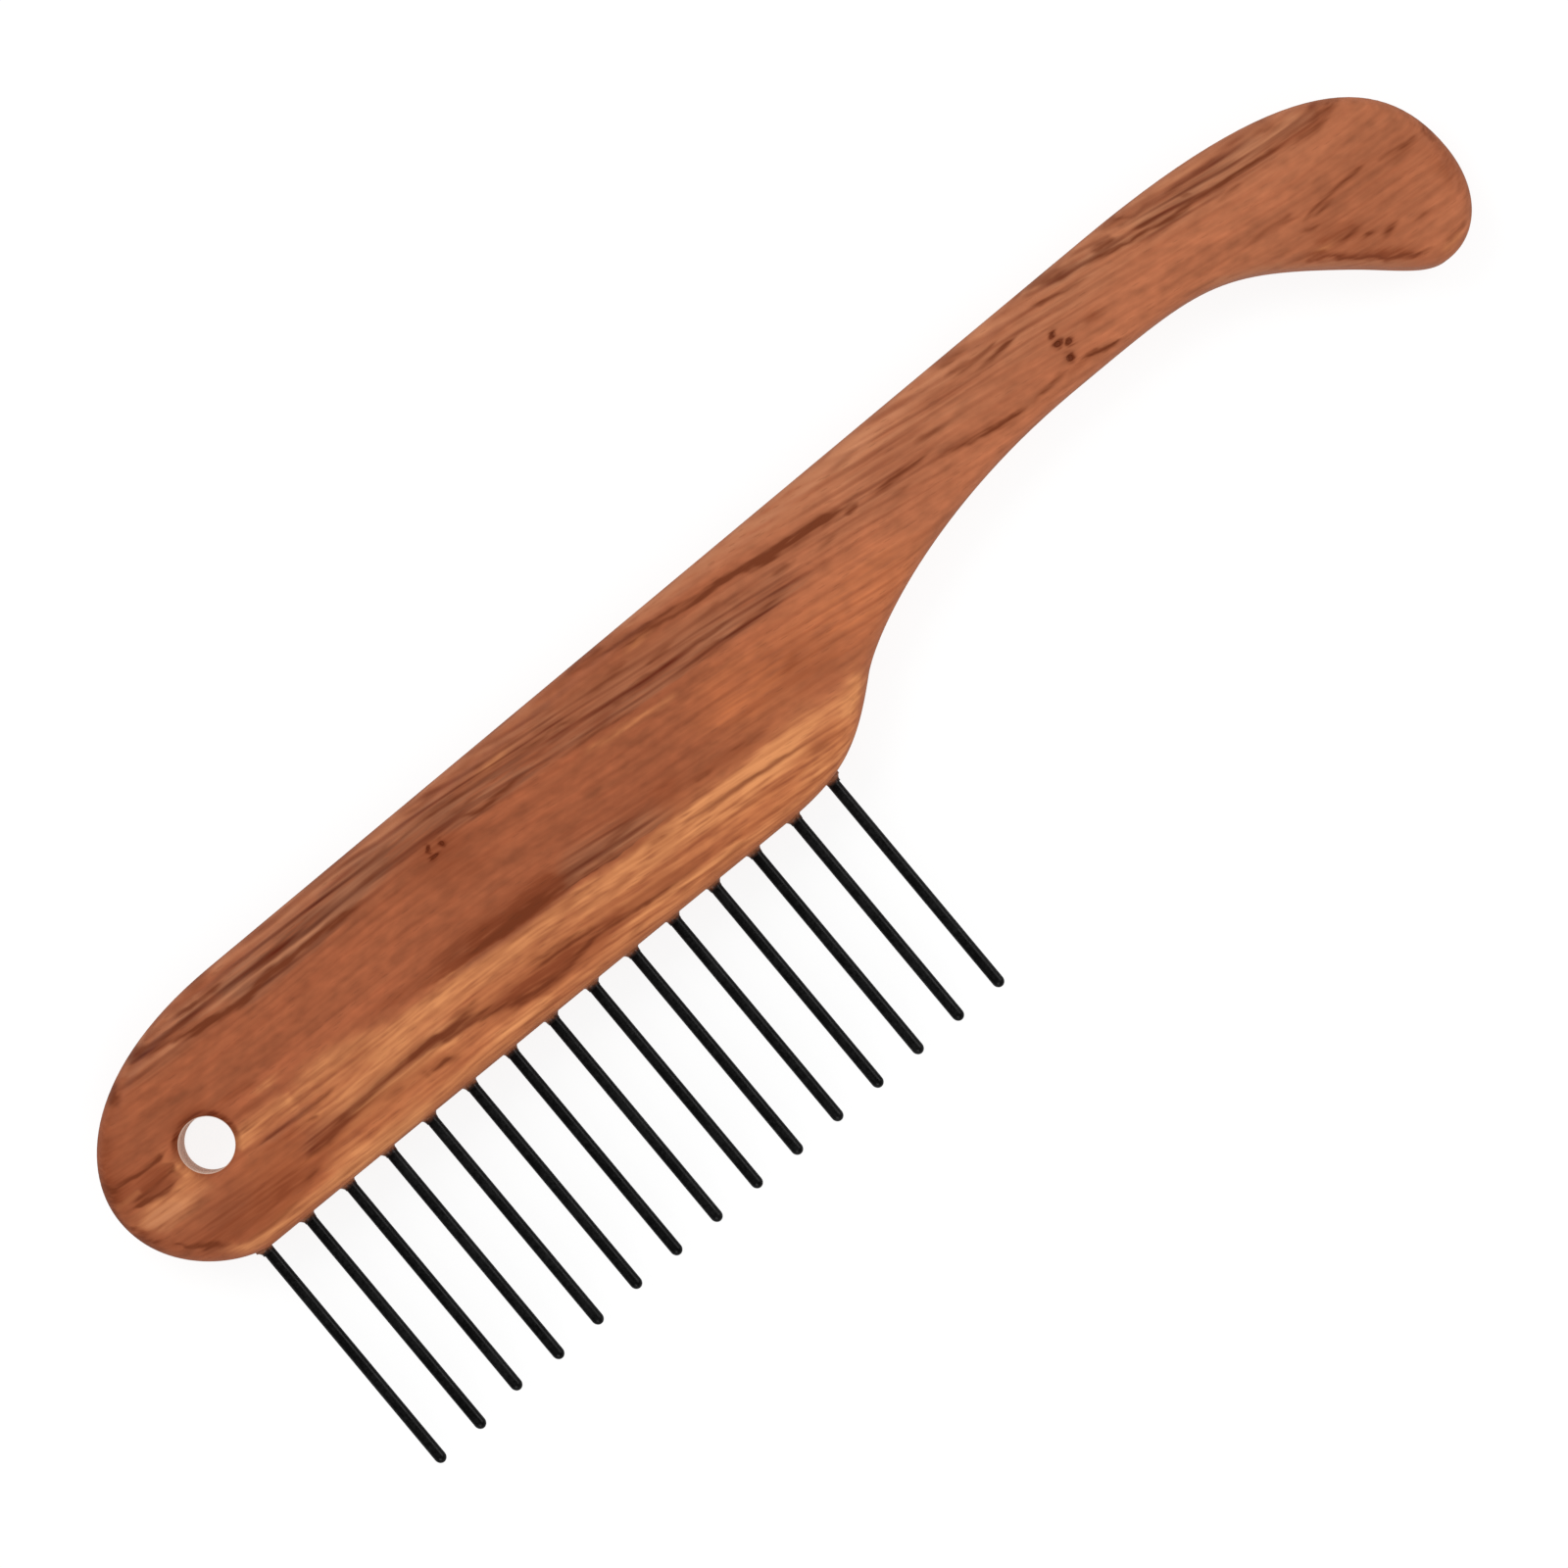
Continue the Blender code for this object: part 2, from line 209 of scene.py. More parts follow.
# The figure of the wood, each mark placed where the photograph shows it, shade by shade.
# Some of the marks are painted sheen and shade on the rounded edges, each noted above it.
FIGURE_AND_PAINTED_EDGE_LIGHT: dict[Shade, tuple[Streak | Patch, ...]] = {
    Shade.AMBER: (
        Streak(5.5, 8, 0.3, ((12, 31.5), (34, 30.5), (60, 31.5), (100, 32.5), (131, 33)), 8),
        Streak(3.5, 5, 0.22, ((100, 31.5), (110, 33), (120, 33.4), (132, 31)), 6),
        Streak(6, 5, 0.34, ((104, 18), (120, 19.5), (136, 20), (154, 17)), 12),
    ),
    Shade.UMBER: (
        Streak(3.4, 4.4, 0.32, ((138, 3.2), (170, 4.2), (204, 5.4)), 15),
        Streak(2.2, 0.6, 0.6, ((25, 29.4), (36, 29.2), (48, 29.3), (60, 30.6)), 4),
        Streak(3.2, 2.8, 0.42, ((30, 4.6), (50, 4.2), (72, 3.6), (98, 4.8)), 5),
        Streak(4.5, 1.2, 0.35, ((10, 5.6), (30, 6), (60, 5.4), (78, 5.6)), 6),
        Streak(2.4, 2.4, 0.34, ((94, 6), (108, 7.4), (124, 8.6)), 5),
        Patch((148, 8.8), 13, 4.4, 0.34, 0.08),
        Streak(1.3, 0.9, 0.55, ((13, 3.6), (20, 3.4), (28, 3.6), (36, 4))),
        Patch((13, 28.4), 8, 2.2, 0.35),
        Streak(0.6, 0.5, 0.55, ((22, 24.1), (27, 24.5), (34, 24.6))),
        Streak(4.5, 0.6, 0.45, ((30, 7.2), (45, 7.5), (60, 5.4), (66, 5)), 6),
        Streak(4, 0.4, 0.55, ((66, 5.2), (76, 7.8), (87, 8.7), (94, 9.8)), 8),
        Streak(3.8, 0.3, 0.55, ((88, 8.6), (97, 9.7), (105, 10.6), (124, 11.8)), 4),
        Streak(3.2, 0.1, 0.8, ((77, 23.5), (84, 24.5), (91, 25.3), (100, 25.4)), 5),
        Streak(1.8, 1.6, 0.8, ((56, 21.4), (63, 22.4), (72, 23), (84, 23.4)), 6),
        Streak(2.4, 1, 0.55, ((78, 21.8), (86, 22.6), (96, 23.4)), 6),
        Streak(4.6, 0.5, 0.6, ((118, 12), (128, 11.9), (137, 12.4)), 6),
        Streak(1.2, 0.8, 0.85, ((181.5, 0.4), (185, 1), (190, 2), (195, 3), (202, 4.6))),
        Streak(4.6, 0.8, 0.6, ((199, 5.2), (208, 6.3), (216, 7.2), (226, 8.8)), 4),
        Streak(1.3, 1.2, 0.5, ((200, 3), (208, 4.4), (218.5, 4.6), (227.2, 6.4), (234.4, 8.2)), 5),
        Streak(1.6, 0.9, 0.5, ((221, 6.6), (228, 7.6), (237, 8.4)), 5),
    ),
    Shade.HONEY: (
        Streak(6, 5, 0.26, ((28, 30), (60, 31), (100, 31.5), (131, 31.8)), 10),
        # Painted sheen: a lighter strip along the rounded lower edge.
        Streak(1.3, 2.5, 0.3, ((26, 35.2), (60, 35.4), (100, 35.5), (130, 34.6)), 6),
        Streak(0.4, 0.5, 0.32, ((0.8, 18.2), (3, 18.2), (5.5, 18.3)), 1),
        Streak(1.2, 1.8, 0.42, ((0, 21.8), (6, 22.3), (11, 23.2), (14, 24.4)), 6),
        Patch((12, 20.6), 2, 3.4, 0.6, 0.9),
        Patch((6.2, 23), 4.4, 2.1, 0.42, 0.25, 0.6),
        Patch((110, 3.4), 2.6, 0.7, 0.42),
        Patch((83, 3.6), 3.4, 0.7, 0.38),
        Streak(0.5, 0.5, 0.32, ((92, 10.9), (98, 11.4), (104, 12.2), (110, 13.1)), 3),
        Streak(1.3, 1.7, 0.5, ((19, 21.9), (25, 21.6), (31, 22.2)), 1.5),
        # Painted sheen: a lighter strip on the rounded edge round the lower nose.
        Streak(
            0.9, 1.6, 0.7,
            ((7.4, 31.4), (10, 33.2), (14, 34.6), (22, 35.1), (31.3, 35.3), (46, 35.9)), 3.5,
        ),
        Streak(1.5, 1.6, 0.4, ((26.5, 33.6), (31, 33), (36, 33.4))),
        Patch((22, 21.9), 2.2, 1.4, 0.55),
        Streak(1, 1.6, 0.38, ((27, 25.4), (36, 25.8), (50, 26.4)), 4),
        Streak(1.8, 3, 0.42, ((28, 21.4), (38, 21.6), (50, 23.8)), 8),
        Streak(0.9, 2.8, 0.61, ((40, 23.8), (52, 23.9), (62, 24.9), (72, 25.9)), 5),
        Streak(1, 3.2, 0.52, ((66, 25.4), (80, 26), (88, 27.3), (98, 28)), 5),
        Streak(0.8, 2.2, 0.78, ((80, 26.2), (98, 27.2), (112, 27.6), (126, 28.2)), 14),
        Streak(1.4, 1.4, 0.4, ((106, 30.4), (113, 30.4), (120, 31.2)), 3),
        Streak(0.9, 1, 0.14, ((30, 34), (38, 34), (46, 33.4)), 3),
        Streak(0.5, 0.6, 0.43, ((34, 29.6), (45, 29.6), (56, 31.1)), 3),
        Streak(0.8, 0.8, 0.43, ((56, 33.6), (62, 34.3), (70, 34.6)), 3),
        Streak(0.5, 0.6, 0.5, ((78, 33.6), (86, 33.8), (96, 34.4), (104, 34.8)), 3),
        Patch((130.2, 28.4), 1.6, 2.2, 0.5),
        Patch((105.6, 30.8), 3.4, 1.2, 0.6),
        Patch((10.3, 21.7), 1.6, 1, 0.45, 0.3),
        Patch((35.9, 29.9), 2.4, 0.6, 0.4),
        Patch((58.9, 22.9), 2.6, 0.7, 0.38),
        Patch((100.4, 29.6), 3.4, 1, 0.5),
        Patch((81.6, 25.6), 2.8, 0.6, 0.5, 0.1),
        Patch((28.6, 18.2), 2.4, 0.7, 0.45),
        Patch((31.2, 22.6), 3, 1, 0.4),
        Streak(1.2, 2, 0.58, ((106, 27.4), (118, 27.8), (124, 28), (131.5, 28.6)), 10),
        Patch((118.4, 33.4), 3.6, 1.3, 0.64, -0.1),
        Streak(0.8, 0.8, 0.36, ((125, 30.4), (130, 29.6)), 1.5),
        Patch((127.6, 29.6), 3.6, 2.4, 0.6, -0.5),
        Streak(0.6, 0.8, 0.29, ((233, 34.2), (238, 34.4)), 1.5),
        Patch((220.6, 23.2), 2, 0.7, 0.42),
    ),
    Shade.BLUSH: (
        Streak(3, 3.5, 0.22, ((84, 3.4), (100, 5.2), (114, 7.4), (128, 8.6)), 8),
        # Painted sheen: the next four streaks lighten the rounded back edge, bulb top, nose top and
        # bulb flank.
        Streak(1.5, 1.5, 0.5, ((100, 0.2), (150, 0.6), (185, 0.4), (212, 1.2)), 6),
        Streak(1, 1.2, 0.4, ((205, 0.8), (218, 2.4), (228, 4.6), (238, 9.6)), 5),
        Streak(1.2, 1, 0.45, ((8, 6.6), (12, 3.6), (18, 1.8), (31, 0.4)), 5),
        Streak(1, 1.3, 0.8, ((203, 16.8), (211, 20), (219, 25.6), (231, 34.6)), 4),
        Streak(3.5, 3.5, 0.24, ((126, 3), (160, 4), (190, 4), (236, 12)), 10),
        Streak(1, 3, 0.16, ((0, 22.4), (6, 22.5), (11, 23.2), (15, 25.2)), 5),
        Streak(0.35, 0.35, 0.4, ((13, 4.6), (18, 5), (24, 5.6)), 2.5),
        Streak(0.3, 0.3, 0.5, ((22.5, 2.1), (27, 2.1), (31, 2.2)), 2),
        Patch((6, 23.2), 4, 1.8, 0.4, 0.25, 0.6),
        # Painted sheen: the next two streaks lighten the rounded back edge.
        Streak(1.6, 1, 0.45, ((30, 0.8), (60, 0.8), (96, 0.6)), 6),
        Streak(0.8, 0.8, 0.5, ((106, 0.6), (124, 1.6)), 6),
        Streak(0.35, 0.35, 0.45, ((24, 4.8), (34, 5), (42, 5.3), (52, 5.8)), 6),
        Streak(1.4, 1.4, 0.45, ((118, 1.2), (140, 2), (158, 2.4)), 6),
        Streak(0.6, 0.6, 0.32, ((218, 5.1), (225, 5.7), (232, 6.5)), 2.5),
    ),
    Shade.RUSSET: (
        # Painted shade: the next three patches darken the rounded nose end.
        Patch((4.4, 11.4), 5.2, 4.2, 0.6, -1.1),
        Patch((2, 15.6), 3.4, 2.6, 0.4),
        Patch((1.6, 25.2), 2.4, 4.2, 0.45, 0.5),
        Patch((17.2, 17.6), 4.8, 4.4, 0.55, 0, 0.4),
        Streak(2.6, 2.6, 0.4, ((60, 21.6), (68, 22.4), (76, 22.8), (82, 22.6)), 5),
        Streak(2.4, 2.4, 0.3, ((26, 30.2), (38, 29.8), (52, 30.6)), 5),
        Streak(2.4, 2.4, 0.26, ((92, 6), (104, 6.4), (116, 7.4), (124, 8)), 6),
        Patch((43, 23.6), 4.6, 2.6, 0.24, 0.5),
        Patch((69, 8.6), 5.6, 4.6, 0.58),
        Patch((73, 21.2), 12, 1.6, 0.35),
        Patch((91, 21.6), 12, 2.2, 0.3),
        Patch((93, 29.2), 4, 2.4, 0.22),
        Patch((230, 21.5), 15, 9, 0.24),
        Patch((229, 31), 6, 5, 0.22, 0.6),
        # Painted shade on the rounded nose end.
        Patch((-0.1, 19.6), 1.5, 8.5, 0.75),
        Streak(2.6, 1.4, 0.5, ((56, 30.6), (62, 31.4), (72, 32.2), (86, 32.8)), 6),
        # Painted shade on the rounded right end of the bulb.
        Patch((242, 26.5), 2.4, 6, 0.4),
        Streak(3, 1.5, 0.35, ((1, 17.4), (6, 17.8), (11.6, 18.2)), 1),
        Streak(1.5, 1.3, 0.62, ((4.4, 18.8), (8, 18.8), (11.4, 18.8)), 1.6),
        Patch((14.8, 30.2), 12, 3.9, 0.55, 0.03, 0.7),
        Patch((22.6, 31.2), 6, 2.2, 0.45),
        Streak(0.7, 0.6, 0.6, ((21, 16.2), (25, 16.3), (29, 16.8)), 2),
        Streak(0.5, 0.5, 0.45, ((21, 25.4), (28, 25.7), (33, 26.5))),
        Patch((71.5, 13.4), 4, 1.6, 0.35),
        Streak(1.3, 0.4, 0.5, ((44, 19.6), (54, 21.6), (60, 22.8), (66, 23.6)), 7),
        Streak(3, 0.3, 0.76, ((56, 22.2), (66, 23.2), (74, 23.8), (82, 24)), 4),
        Patch((99.2, 22.6), 3.2, 2, 0.5),
        Streak(1.2, 0.5, 0.6, ((28, 28.6), (32, 29.5), (36, 29)), 2),
        Streak(1.6, 0.9, 0.52, ((59, 30), (64.5, 31.9), (69.8, 32.8), (77, 32.4)), 5),
        Streak(1.1, 1, 0.45, ((60, 30.2), (70, 31), (80, 31.6), (96, 32.6)), 4),
        Patch((78.3, 26.2), 2.2, 0.6, 0.45),
        Patch((94.4, 27), 3, 0.8, 0.6, 0.1),
        Patch((116.5, 21.2), 3, 0.9, 0.3, 0.1),
        Patch((38.8, 34.8), 4.4, 1.1, 0.36),
        Patch((85.4, 28.7), 2.4, 0.7, 0.38),
        Patch((90.7, 26), 2.4, 0.7, 0.38),
        Patch((69.9, 28.1), 2.6, 0.7, 0.32),
        Patch((30.5, 35.4), 2.6, 0.7, 0.45),
        Patch((124.8, 19.8), 2.6, 0.9, 0.45, -0.2),
        Patch((110, 24.6), 7, 1.3, 0.42, 0.12),
        Patch((126, 22), 7, 4.6, 0.35, 0.25),
        Patch((120.6, 31.3), 3.6, 0.8, 0.45, 0.12),
        Patch((189.6, 9.3), 2.2, 1.2, 0.6),
        Streak(1.5, 0.8, 0.5, ((219, 6.9), (222, 7.4), (228, 8.2), (233, 8.6), (237.5, 8.4)), 6),
        Streak(2, 2, 0.35, ((219, 21), (224, 22.6), (228, 24.4)), 3),
        Patch((184.3, 13.5), 3, 0.8, 0.36),
        # Painted shade: a dark line on the bulb's rounded lower flank.
        Streak(
            1.1, 1.1, 0.85,
            ((217, 21.8), (218.7, 23.1), (221, 24.9), (223.7, 27.1), (228.1, 30.6), (232.6, 33.2)),
            2.5,
        ),
    ),
    Shade.DARK: (
        # Painted shade: the next three patches darken the rounded nose end.
        Patch((-0.2, 20.4), 1.2, 7, 1.1),
        Patch((1.5, 25.8), 1.4, 2.4, 0.8, 0.5),
        Patch((1.3, 15.4), 1.2, 3.2, 0.95, -0.5),
        Streak(0.3, 0.3, 0.66, ((14.6, 3), (19.9, 3.4), (23.8, 3.8), (29, 4.1)), 4),
        Streak(0.3, 0.32, 0.66, ((15, 3.9), (21.8, 4.7), (26.6, 5.6), (31.5, 6.3)), 4.5),
        Streak(0.5, 0.45, 0.62, ((22.6, 2.8), (25.5, 2.6), (30, 2.9), (34.4, 2.9)), 3),
        Streak(0.52, 0.42, 0.47, ((27, 1.4), (30, 1.3), (34, 1.2))),
        Streak(0.6, 0.5, 1, ((23, 6), (28, 6.2), (33, 6.9)), 3),
        Patch((10.8, 5.6), 1.5, 1.4, 1.5, -0.5),
        Patch((10.9, 18.9), 0.6, 1.7, 0.6, 0.3),
        Streak(
            0.38, 0.38, 1.1,
            ((0.2, 15.9), (4.6, 16), (7.1, 16.4), (10.5, 16.4), (12.6, 16.1)), 2,
        ),
        Streak(0.36, 0.34, 0.85, ((2, 18.8), (4, 19.1), (8, 19.2), (11.4, 18.6)), 2.4),
        Streak(
            0.5, 0.42, 1.1,
            ((1.6, 19.5), (2.4, 19.8), (5.4, 20.2), (8.5, 20.5), (10.8, 20.3)), 1.8,
        ),
        Patch((33, 2.7), 2.4, 0.7, 0.32),
        Patch((25.4, 32.2), 2.4, 0.8, 0.6, -0.2),
        Streak(0.7, 0.7, 1.05, ((3.8, 26.4), (5.8, 28.6), (8.6, 31.2), (11, 32.9)), 2.6),
        Streak(0.6, 0.5, 0.39, ((10, 32.6), (15, 33.8), (20, 33.9), (25.5, 33.2)), 6.2),
        Streak(0.5, 0.5, 0.46, ((21.3, 18.7), (24, 19.1), (29, 19.4)), 3.1),
        Streak(0.52, 0.74, 0.78, ((25.5, 30.6), (29, 29.7), (33.4, 30.1)), 3.2),
        Streak(0.42, 0.42, 0.67, ((37, 4), (41, 4.5), (45, 4.3)), 3.2),
        Streak(0.32, 0.32, 0.39, ((41, 2.9), (45.5, 2.7), (50, 3.1)), 3.6),
        Streak(0.62, 0.55, 1.12, ((29, 6.8), (35, 6.9), (38.5, 6.3), (42, 6.6), (46, 6.4)), 4),
        Streak(0.5, 0.5, 1.15, ((42, 6.5), (47, 6.5), (51, 6.6), (58, 6.9)), 4),
        Streak(0.42, 0.42, 0.53, ((54, 4.9), (60, 5), (66, 4.8)), 4.8),
        Streak(0.32, 0.32, 0.39, ((56, 3.1), (61, 3.2), (66, 3)), 4),
        Streak(0.32, 0.32, 0.52, ((66.5, 1.4), (71, 1.8), (76, 2.1)), 3.8),
        Streak(0.32, 0.42, 0.55, ((78.5, 2.1), (81, 2.5), (84, 2.6))),
        Streak(0.42, 0.42, 0.58, ((65, 3.1), (70, 3.4), (75, 3.9), (82, 4.5)), 6.8),
        Streak(0.42, 0.42, 0.61, ((83, 4.2), (88, 5), (94, 5.8), (100, 6.6)), 6.8),
        Streak(0.42, 0.42, 0.55, ((71, 5.1), (76, 5.5), (81, 6)), 4),
        Streak(0.52, 0.52, 0.95, ((71, 6.4), (75, 6.8), (77.5, 7.6), (84.5, 7.7), (88, 8.5)), 6.8),
        Streak(0.5, 0.4, 0.68, ((88, 8.3), (92, 9.3), (97, 9.7), (101, 10.4), (106, 10.9)), 7.2),
        Streak(0.42, 0.42, 0.85, ((94, 0.2), (102, 1.4), (107, 1.9), (113, 2.7), (122, 4)), 8),
        Streak(0.34, 0.36, 0.7, ((104, 2.5), (110, 3), (116, 3.9), (124, 5.2)), 5.5),
        Streak(0.63, 0.42, 0.61, ((98, 4.8), (103, 5), (107.4, 5.9)), 3.8),
        Streak(0.32, 0.32, 0.49, ((103, 4.1), (107.4, 4.9)), 1.8),
        Streak(0.42, 0.42, 0.59, ((108.5, 6.4), (111.5, 6.8), (114.5, 6.5)), 2.4),
        Streak(0.42, 0.42, 0.49, ((104, 7.6), (110.5, 8.5))),
        Streak(0.32, 0.32, 0.53, ((100.8, 8.1), (103.2, 8.6)), 1),
        Streak(0.45, 0.4, 0.45, ((106, 10.7), (113, 10.9), (119, 11.6), (126, 11.5)), 8),
        Streak(0.42, 0.42, 0.61, ((113.5, 9.9), (117, 10.6), (121, 10.8))),
        Streak(0.42, 0.42, 0.53, ((119, 6.5), (123.5, 6.9))),
        Streak(0.32, 0.32, 0.47, ((112, 8.6), (118, 9.3), (124, 9.8)), 4.8),
        Streak(0.52, 0.52, 0.85, ((69, 21.8), (74, 22.6), (78, 22.4)), 3.6),
        Streak(0.8, 0.45, 0.64, ((57, 22), (66, 23), (76, 23.6), (86, 24.2)), 11.6),
        Streak(
            1.3, 1.2, 0.46,
            ((48, 20), (64.6, 21.1), (69.7, 21.9), (74.7, 22.4), (90, 24.2)), 14,
        ),
        Streak(0.42, 0.42, 0.8, ((60, 21.9), (66, 22.7), (72, 23.3), (80, 23.5)), 8),
        Streak(0.52, 0.52, 0.55, ((86, 23.2), (89, 23), (94, 23)), 3.2),
        Streak(0.52, 0.42, 0.61, ((80, 23.8), (85, 24.4), (92, 24.9)), 4.8),
        Streak(0.42, 0.52, 0.53, ((101.5, 23), (105, 24), (108.4, 24.2)), 2.8),
        Streak(0.42, 0.42, 0.55, ((108.4, 23.8), (112, 24.4), (116.5, 25.2)), 3.2),
        Streak(0.42, 0.42, 0.55, ((29.5, 24.3), (33, 24.7), (37.5, 24.5)), 3.2),
        Streak(0.42, 0.42, 0.39, ((29, 26), (33, 26.2)), 1.6),
        Streak(
            0.85, 0.75, 0.6,
            ((28.4, 30.2), (34.2, 29.3), (38.7, 28.9), (44.1, 28.4), (49.1, 28.4), (54, 28.4)), 5,
        ),
        Patch((34.6, 28.6), 2.6, 0.7, 0.35, -0.1),
        Streak(0.6, 0.6, 0.7, ((45.5, 28.4), (50, 28.4), (54, 28.8), (60, 28.6)), 3),
        Streak(0.4, 0.4, 0.82, ((66, 29.6), (71, 30.2), (76, 30.6), (83, 31.4)), 6.8),
        Streak(
            0.8, 0.62, 0.84,
            ((48, 28.4), (51.5, 29.3), (56.5, 29.8), (60, 30.6), (65.2, 32), (70, 32.8),
             (74, 32.6), (79, 32)), 5,
        ),
        Streak(
            0.42, 0.42, 0.8,
            ((72, 32.8), (76, 32.2), (79.6, 31.9), (82.6, 32.3), (87.4, 33), (91.5, 33.7)), 5,
        ),
        Streak(0.32, 0.42, 0.54, ((54, 27.5), (57, 27.8), (60.4, 28.3)), 2.6),
        Streak(0.45, 0.45, 0.6, ((84, 32.3), (89, 33), (94, 33.4), (101, 33.3)), 6.8),
        Streak(0.42, 0.42, 0.62, ((66, 28.6), (70, 29.1), (73, 29.5), (79, 30)), 5.2),
        Patch((42.2, 30.9), 1.9, 0.6, 0.43, 0.15),
        Patch((47.2, 31.4), 1.2, 0.7, 0.43, 0.2),
        Patch((50.4, 31.9), 2.4, 0.8, 0.8, 0.3),
        Streak(
            0.35, 0.4, 0.71,
            ((95, 27.4), (103, 28.2), (110, 28.9), (117, 29.7), (121, 30.2), (125, 31.8)), 12,
        ),
        Streak(0.42, 0.42, 0.49, ((117, 31.6), (120, 31.9), (123, 32.4)), 2.4),
        Streak(0.42, 0.42, 0.39, ((96, 35.3), (101, 35.5), (106, 35.6)), 4),
        Streak(0.32, 0.42, 0.39, ((60, 35.9), (64, 35.5), (72, 35.7)), 4.8),
        Patch((84, 35), 1.8, 0.4, 0.33),
        Patch((93, 35.2), 1.5, 0.4, 0.33),
        Patch((110.5, 35.8), 1.5, 0.4, 0.33),
        Patch((4.3, 27.2), 1.9, 0.8, 0.34, 0.8),
        Streak(
            0.62, 0.66, 1.15,
            ((116, 3.4), (122, 4.3), (127, 5), (131, 5.7), (137, 6.5), (144.6, 7.6), (148, 8.1)), 7,
        ),
        Streak(1.1, 1, 0.46, ((126, 5.3), (131, 6), (136, 6.6), (141, 7.2), (145, 7.6)), 5),
        Streak(0.42, 0.42, 0.7, ((143.6, 8.2), (145, 8.6), (146.8, 8.4)), 1.3),
        Streak(0.52, 0.52, 1.02, ((146.6, 8.8), (150, 8.9), (153, 9), (157, 9.3), (161, 9.4)), 5.8),
        Streak(0.45, 0.45, 0.58, ((118, 11.4), (124, 11.4), (129, 11.4), (134.5, 11.9)), 6.6),
        Patch((137.6, 11.9), 1.5, 0.7, 0.4),
        Patch((140, 9.9), 1.8, 0.5, 0.4),
        Streak(0.42, 0.42, 0.49, ((129.5, 8.4), (132, 8.7), (134.6, 9.3)), 2),
        Streak(0.42, 0.42, 0.39, ((143.5, 2.7), (148, 2.6), (153, 2.4)), 3.8),
        Patch((153, 10.9), 1.7, 0.45, 0.47),
        Streak(0.42, 0.52, 0.61, ((157.5, 6.7), (160, 7.1), (164.5, 8.1)), 2.8),
        Streak(0.52, 0.52, 0.92, ((157, 10.6), (162, 11.3), (166, 12.2), (170, 12.9)), 5.2),
        Streak(0.55, 0.5, 0.95, ((164, 11.9), (168, 12.5), (172, 13.2), (175.6, 13.3)), 4.6),
        Streak(0.42, 0.36, 0.62, ((174, 13.3), (177.4, 13.3), (180.3, 12.9), (183, 12.9)), 2.5),
        Streak(0.42, 0.42, 0.82, ((170.5, 4.7), (175, 4.8), (178, 4.6), (181, 4.5)), 4.2),
        Streak(0.35, 0.35, 0.55, ((167, 3.6), (173.5, 3.5), (178, 3.1)), 3.5),
        Streak(0.35, 0.35, 0.5, ((183, 2.4), (186.9, 3.7), (193, 4.9)), 3),
        Streak(0.52, 0.42, 0.52, ((166, 1.4), (170, 1.5), (174, 2.2)), 3.2),
        Streak(0.32, 0.32, 0.52, ((167, 2.4), (172, 3.1)), 2),
        Streak(0.74, 0.63, 0.72, ((182, 0.7), (186, 1.3), (190.5, 2.2), (194.5, 3.1)), 5),
        Streak(0.52, 0.52, 0.85, ((192, 2.8), (194.5, 3.4), (197, 3.9), (201, 4.8)), 3.6),
        Streak(0.52, 0.52, 0.7, ((194, 2), (198, 2.7), (200, 3.2)), 2.4),
        Streak(0.32, 0.42, 0.49, ((183, 2.3), (185, 3), (188.5, 3.9)), 2.2),
        Streak(0.42, 0.42, 0.95, ((183.4, 13), (186, 13.5), (187.6, 14.5), (191, 14.8)), 2.2),
        Streak(0.32, 0.32, 0.4, ((184, 12.7), (187, 14.2), (190, 14.8)), 1.5),
        Streak(
            0.34, 0.36, 0.72,
            ((198.4, 0.6), (201.7, 1.6), (205.8, 2.5), (212.6, 3.1), (218, 3.5)), 4.5,
        ),
        Streak(
            0.42, 0.45, 0.92,
            ((196.7, 3.4), (203, 5.2), (210.3, 6.1), (216.2, 6.6), (221.6, 7.3), (227, 8.4)), 4.5,
        ),
        Streak(0.42, 0.42, 0.7, ((200.5, 3.2), (203.5, 4.1), (206.5, 4.5)), 2.4),
        Streak(0.42, 0.42, 0.54, ((209, 4.2), (211.5, 5)), 1),
        Streak(0.5, 0.5, 0.62, ((225, 8.3), (229, 9.1), (234.5, 9.2)), 3.8),
        Streak(0.5, 0.5, 0.66, ((230, 7.9), (234, 8.1), (239.4, 9))),
        Streak(0.32, 0.32, 0.47, ((213, 8.1), (219, 8.7))),
        Patch((225.6, 5), 2.4, 0.8, 0.6, 0.3),
        Patch((200.2, 1.6), 3, 0.6, 0.6, 0.25),
        # Painted shade on the rounded right end of the bulb.
        Patch((243, 19.4), 0.9, 4, 0.55),
        Streak(0.45, 0.45, 0.5, ((211.6, 15.7), (216.4, 15.9), (219, 16.4), (222.6, 18.2)), 3.6),
        Streak(0.4, 0.4, 0.6, ((222.4, 18.7), (224.4, 18.6), (227.2, 18.4)), 2.2),
        Streak(0.38, 0.38, 0.62, ((220.8, 18.3), (225, 17.7), (229.4, 17.6), (234.4, 17.5)), 3),
        Streak(0.42, 0.45, 0.62, ((233, 17.5), (238, 18.8), (242.4, 19.4)), 3.6),
        Streak(0.52, 0.52, 0.39, ((233, 19.3), (238, 19.8), (242.5, 19.6)), 3.8),
        Streak(0.42, 0.42, 0.47, ((219.5, 19.2), (222.5, 20.2)), 1.2),
        Patch((225.2, 23.8), 2.4, 0.6, 0.95),
        Patch((227.2, 25.5), 1.8, 0.6, 0.95),
        Patch((229.9, 26.9), 1.6, 0.6, 0.9),
        Patch((235.2, 28.3), 1.8, 0.6, 0.43),
        Patch((223, 23.4), 1.5, 0.6, 0.33),
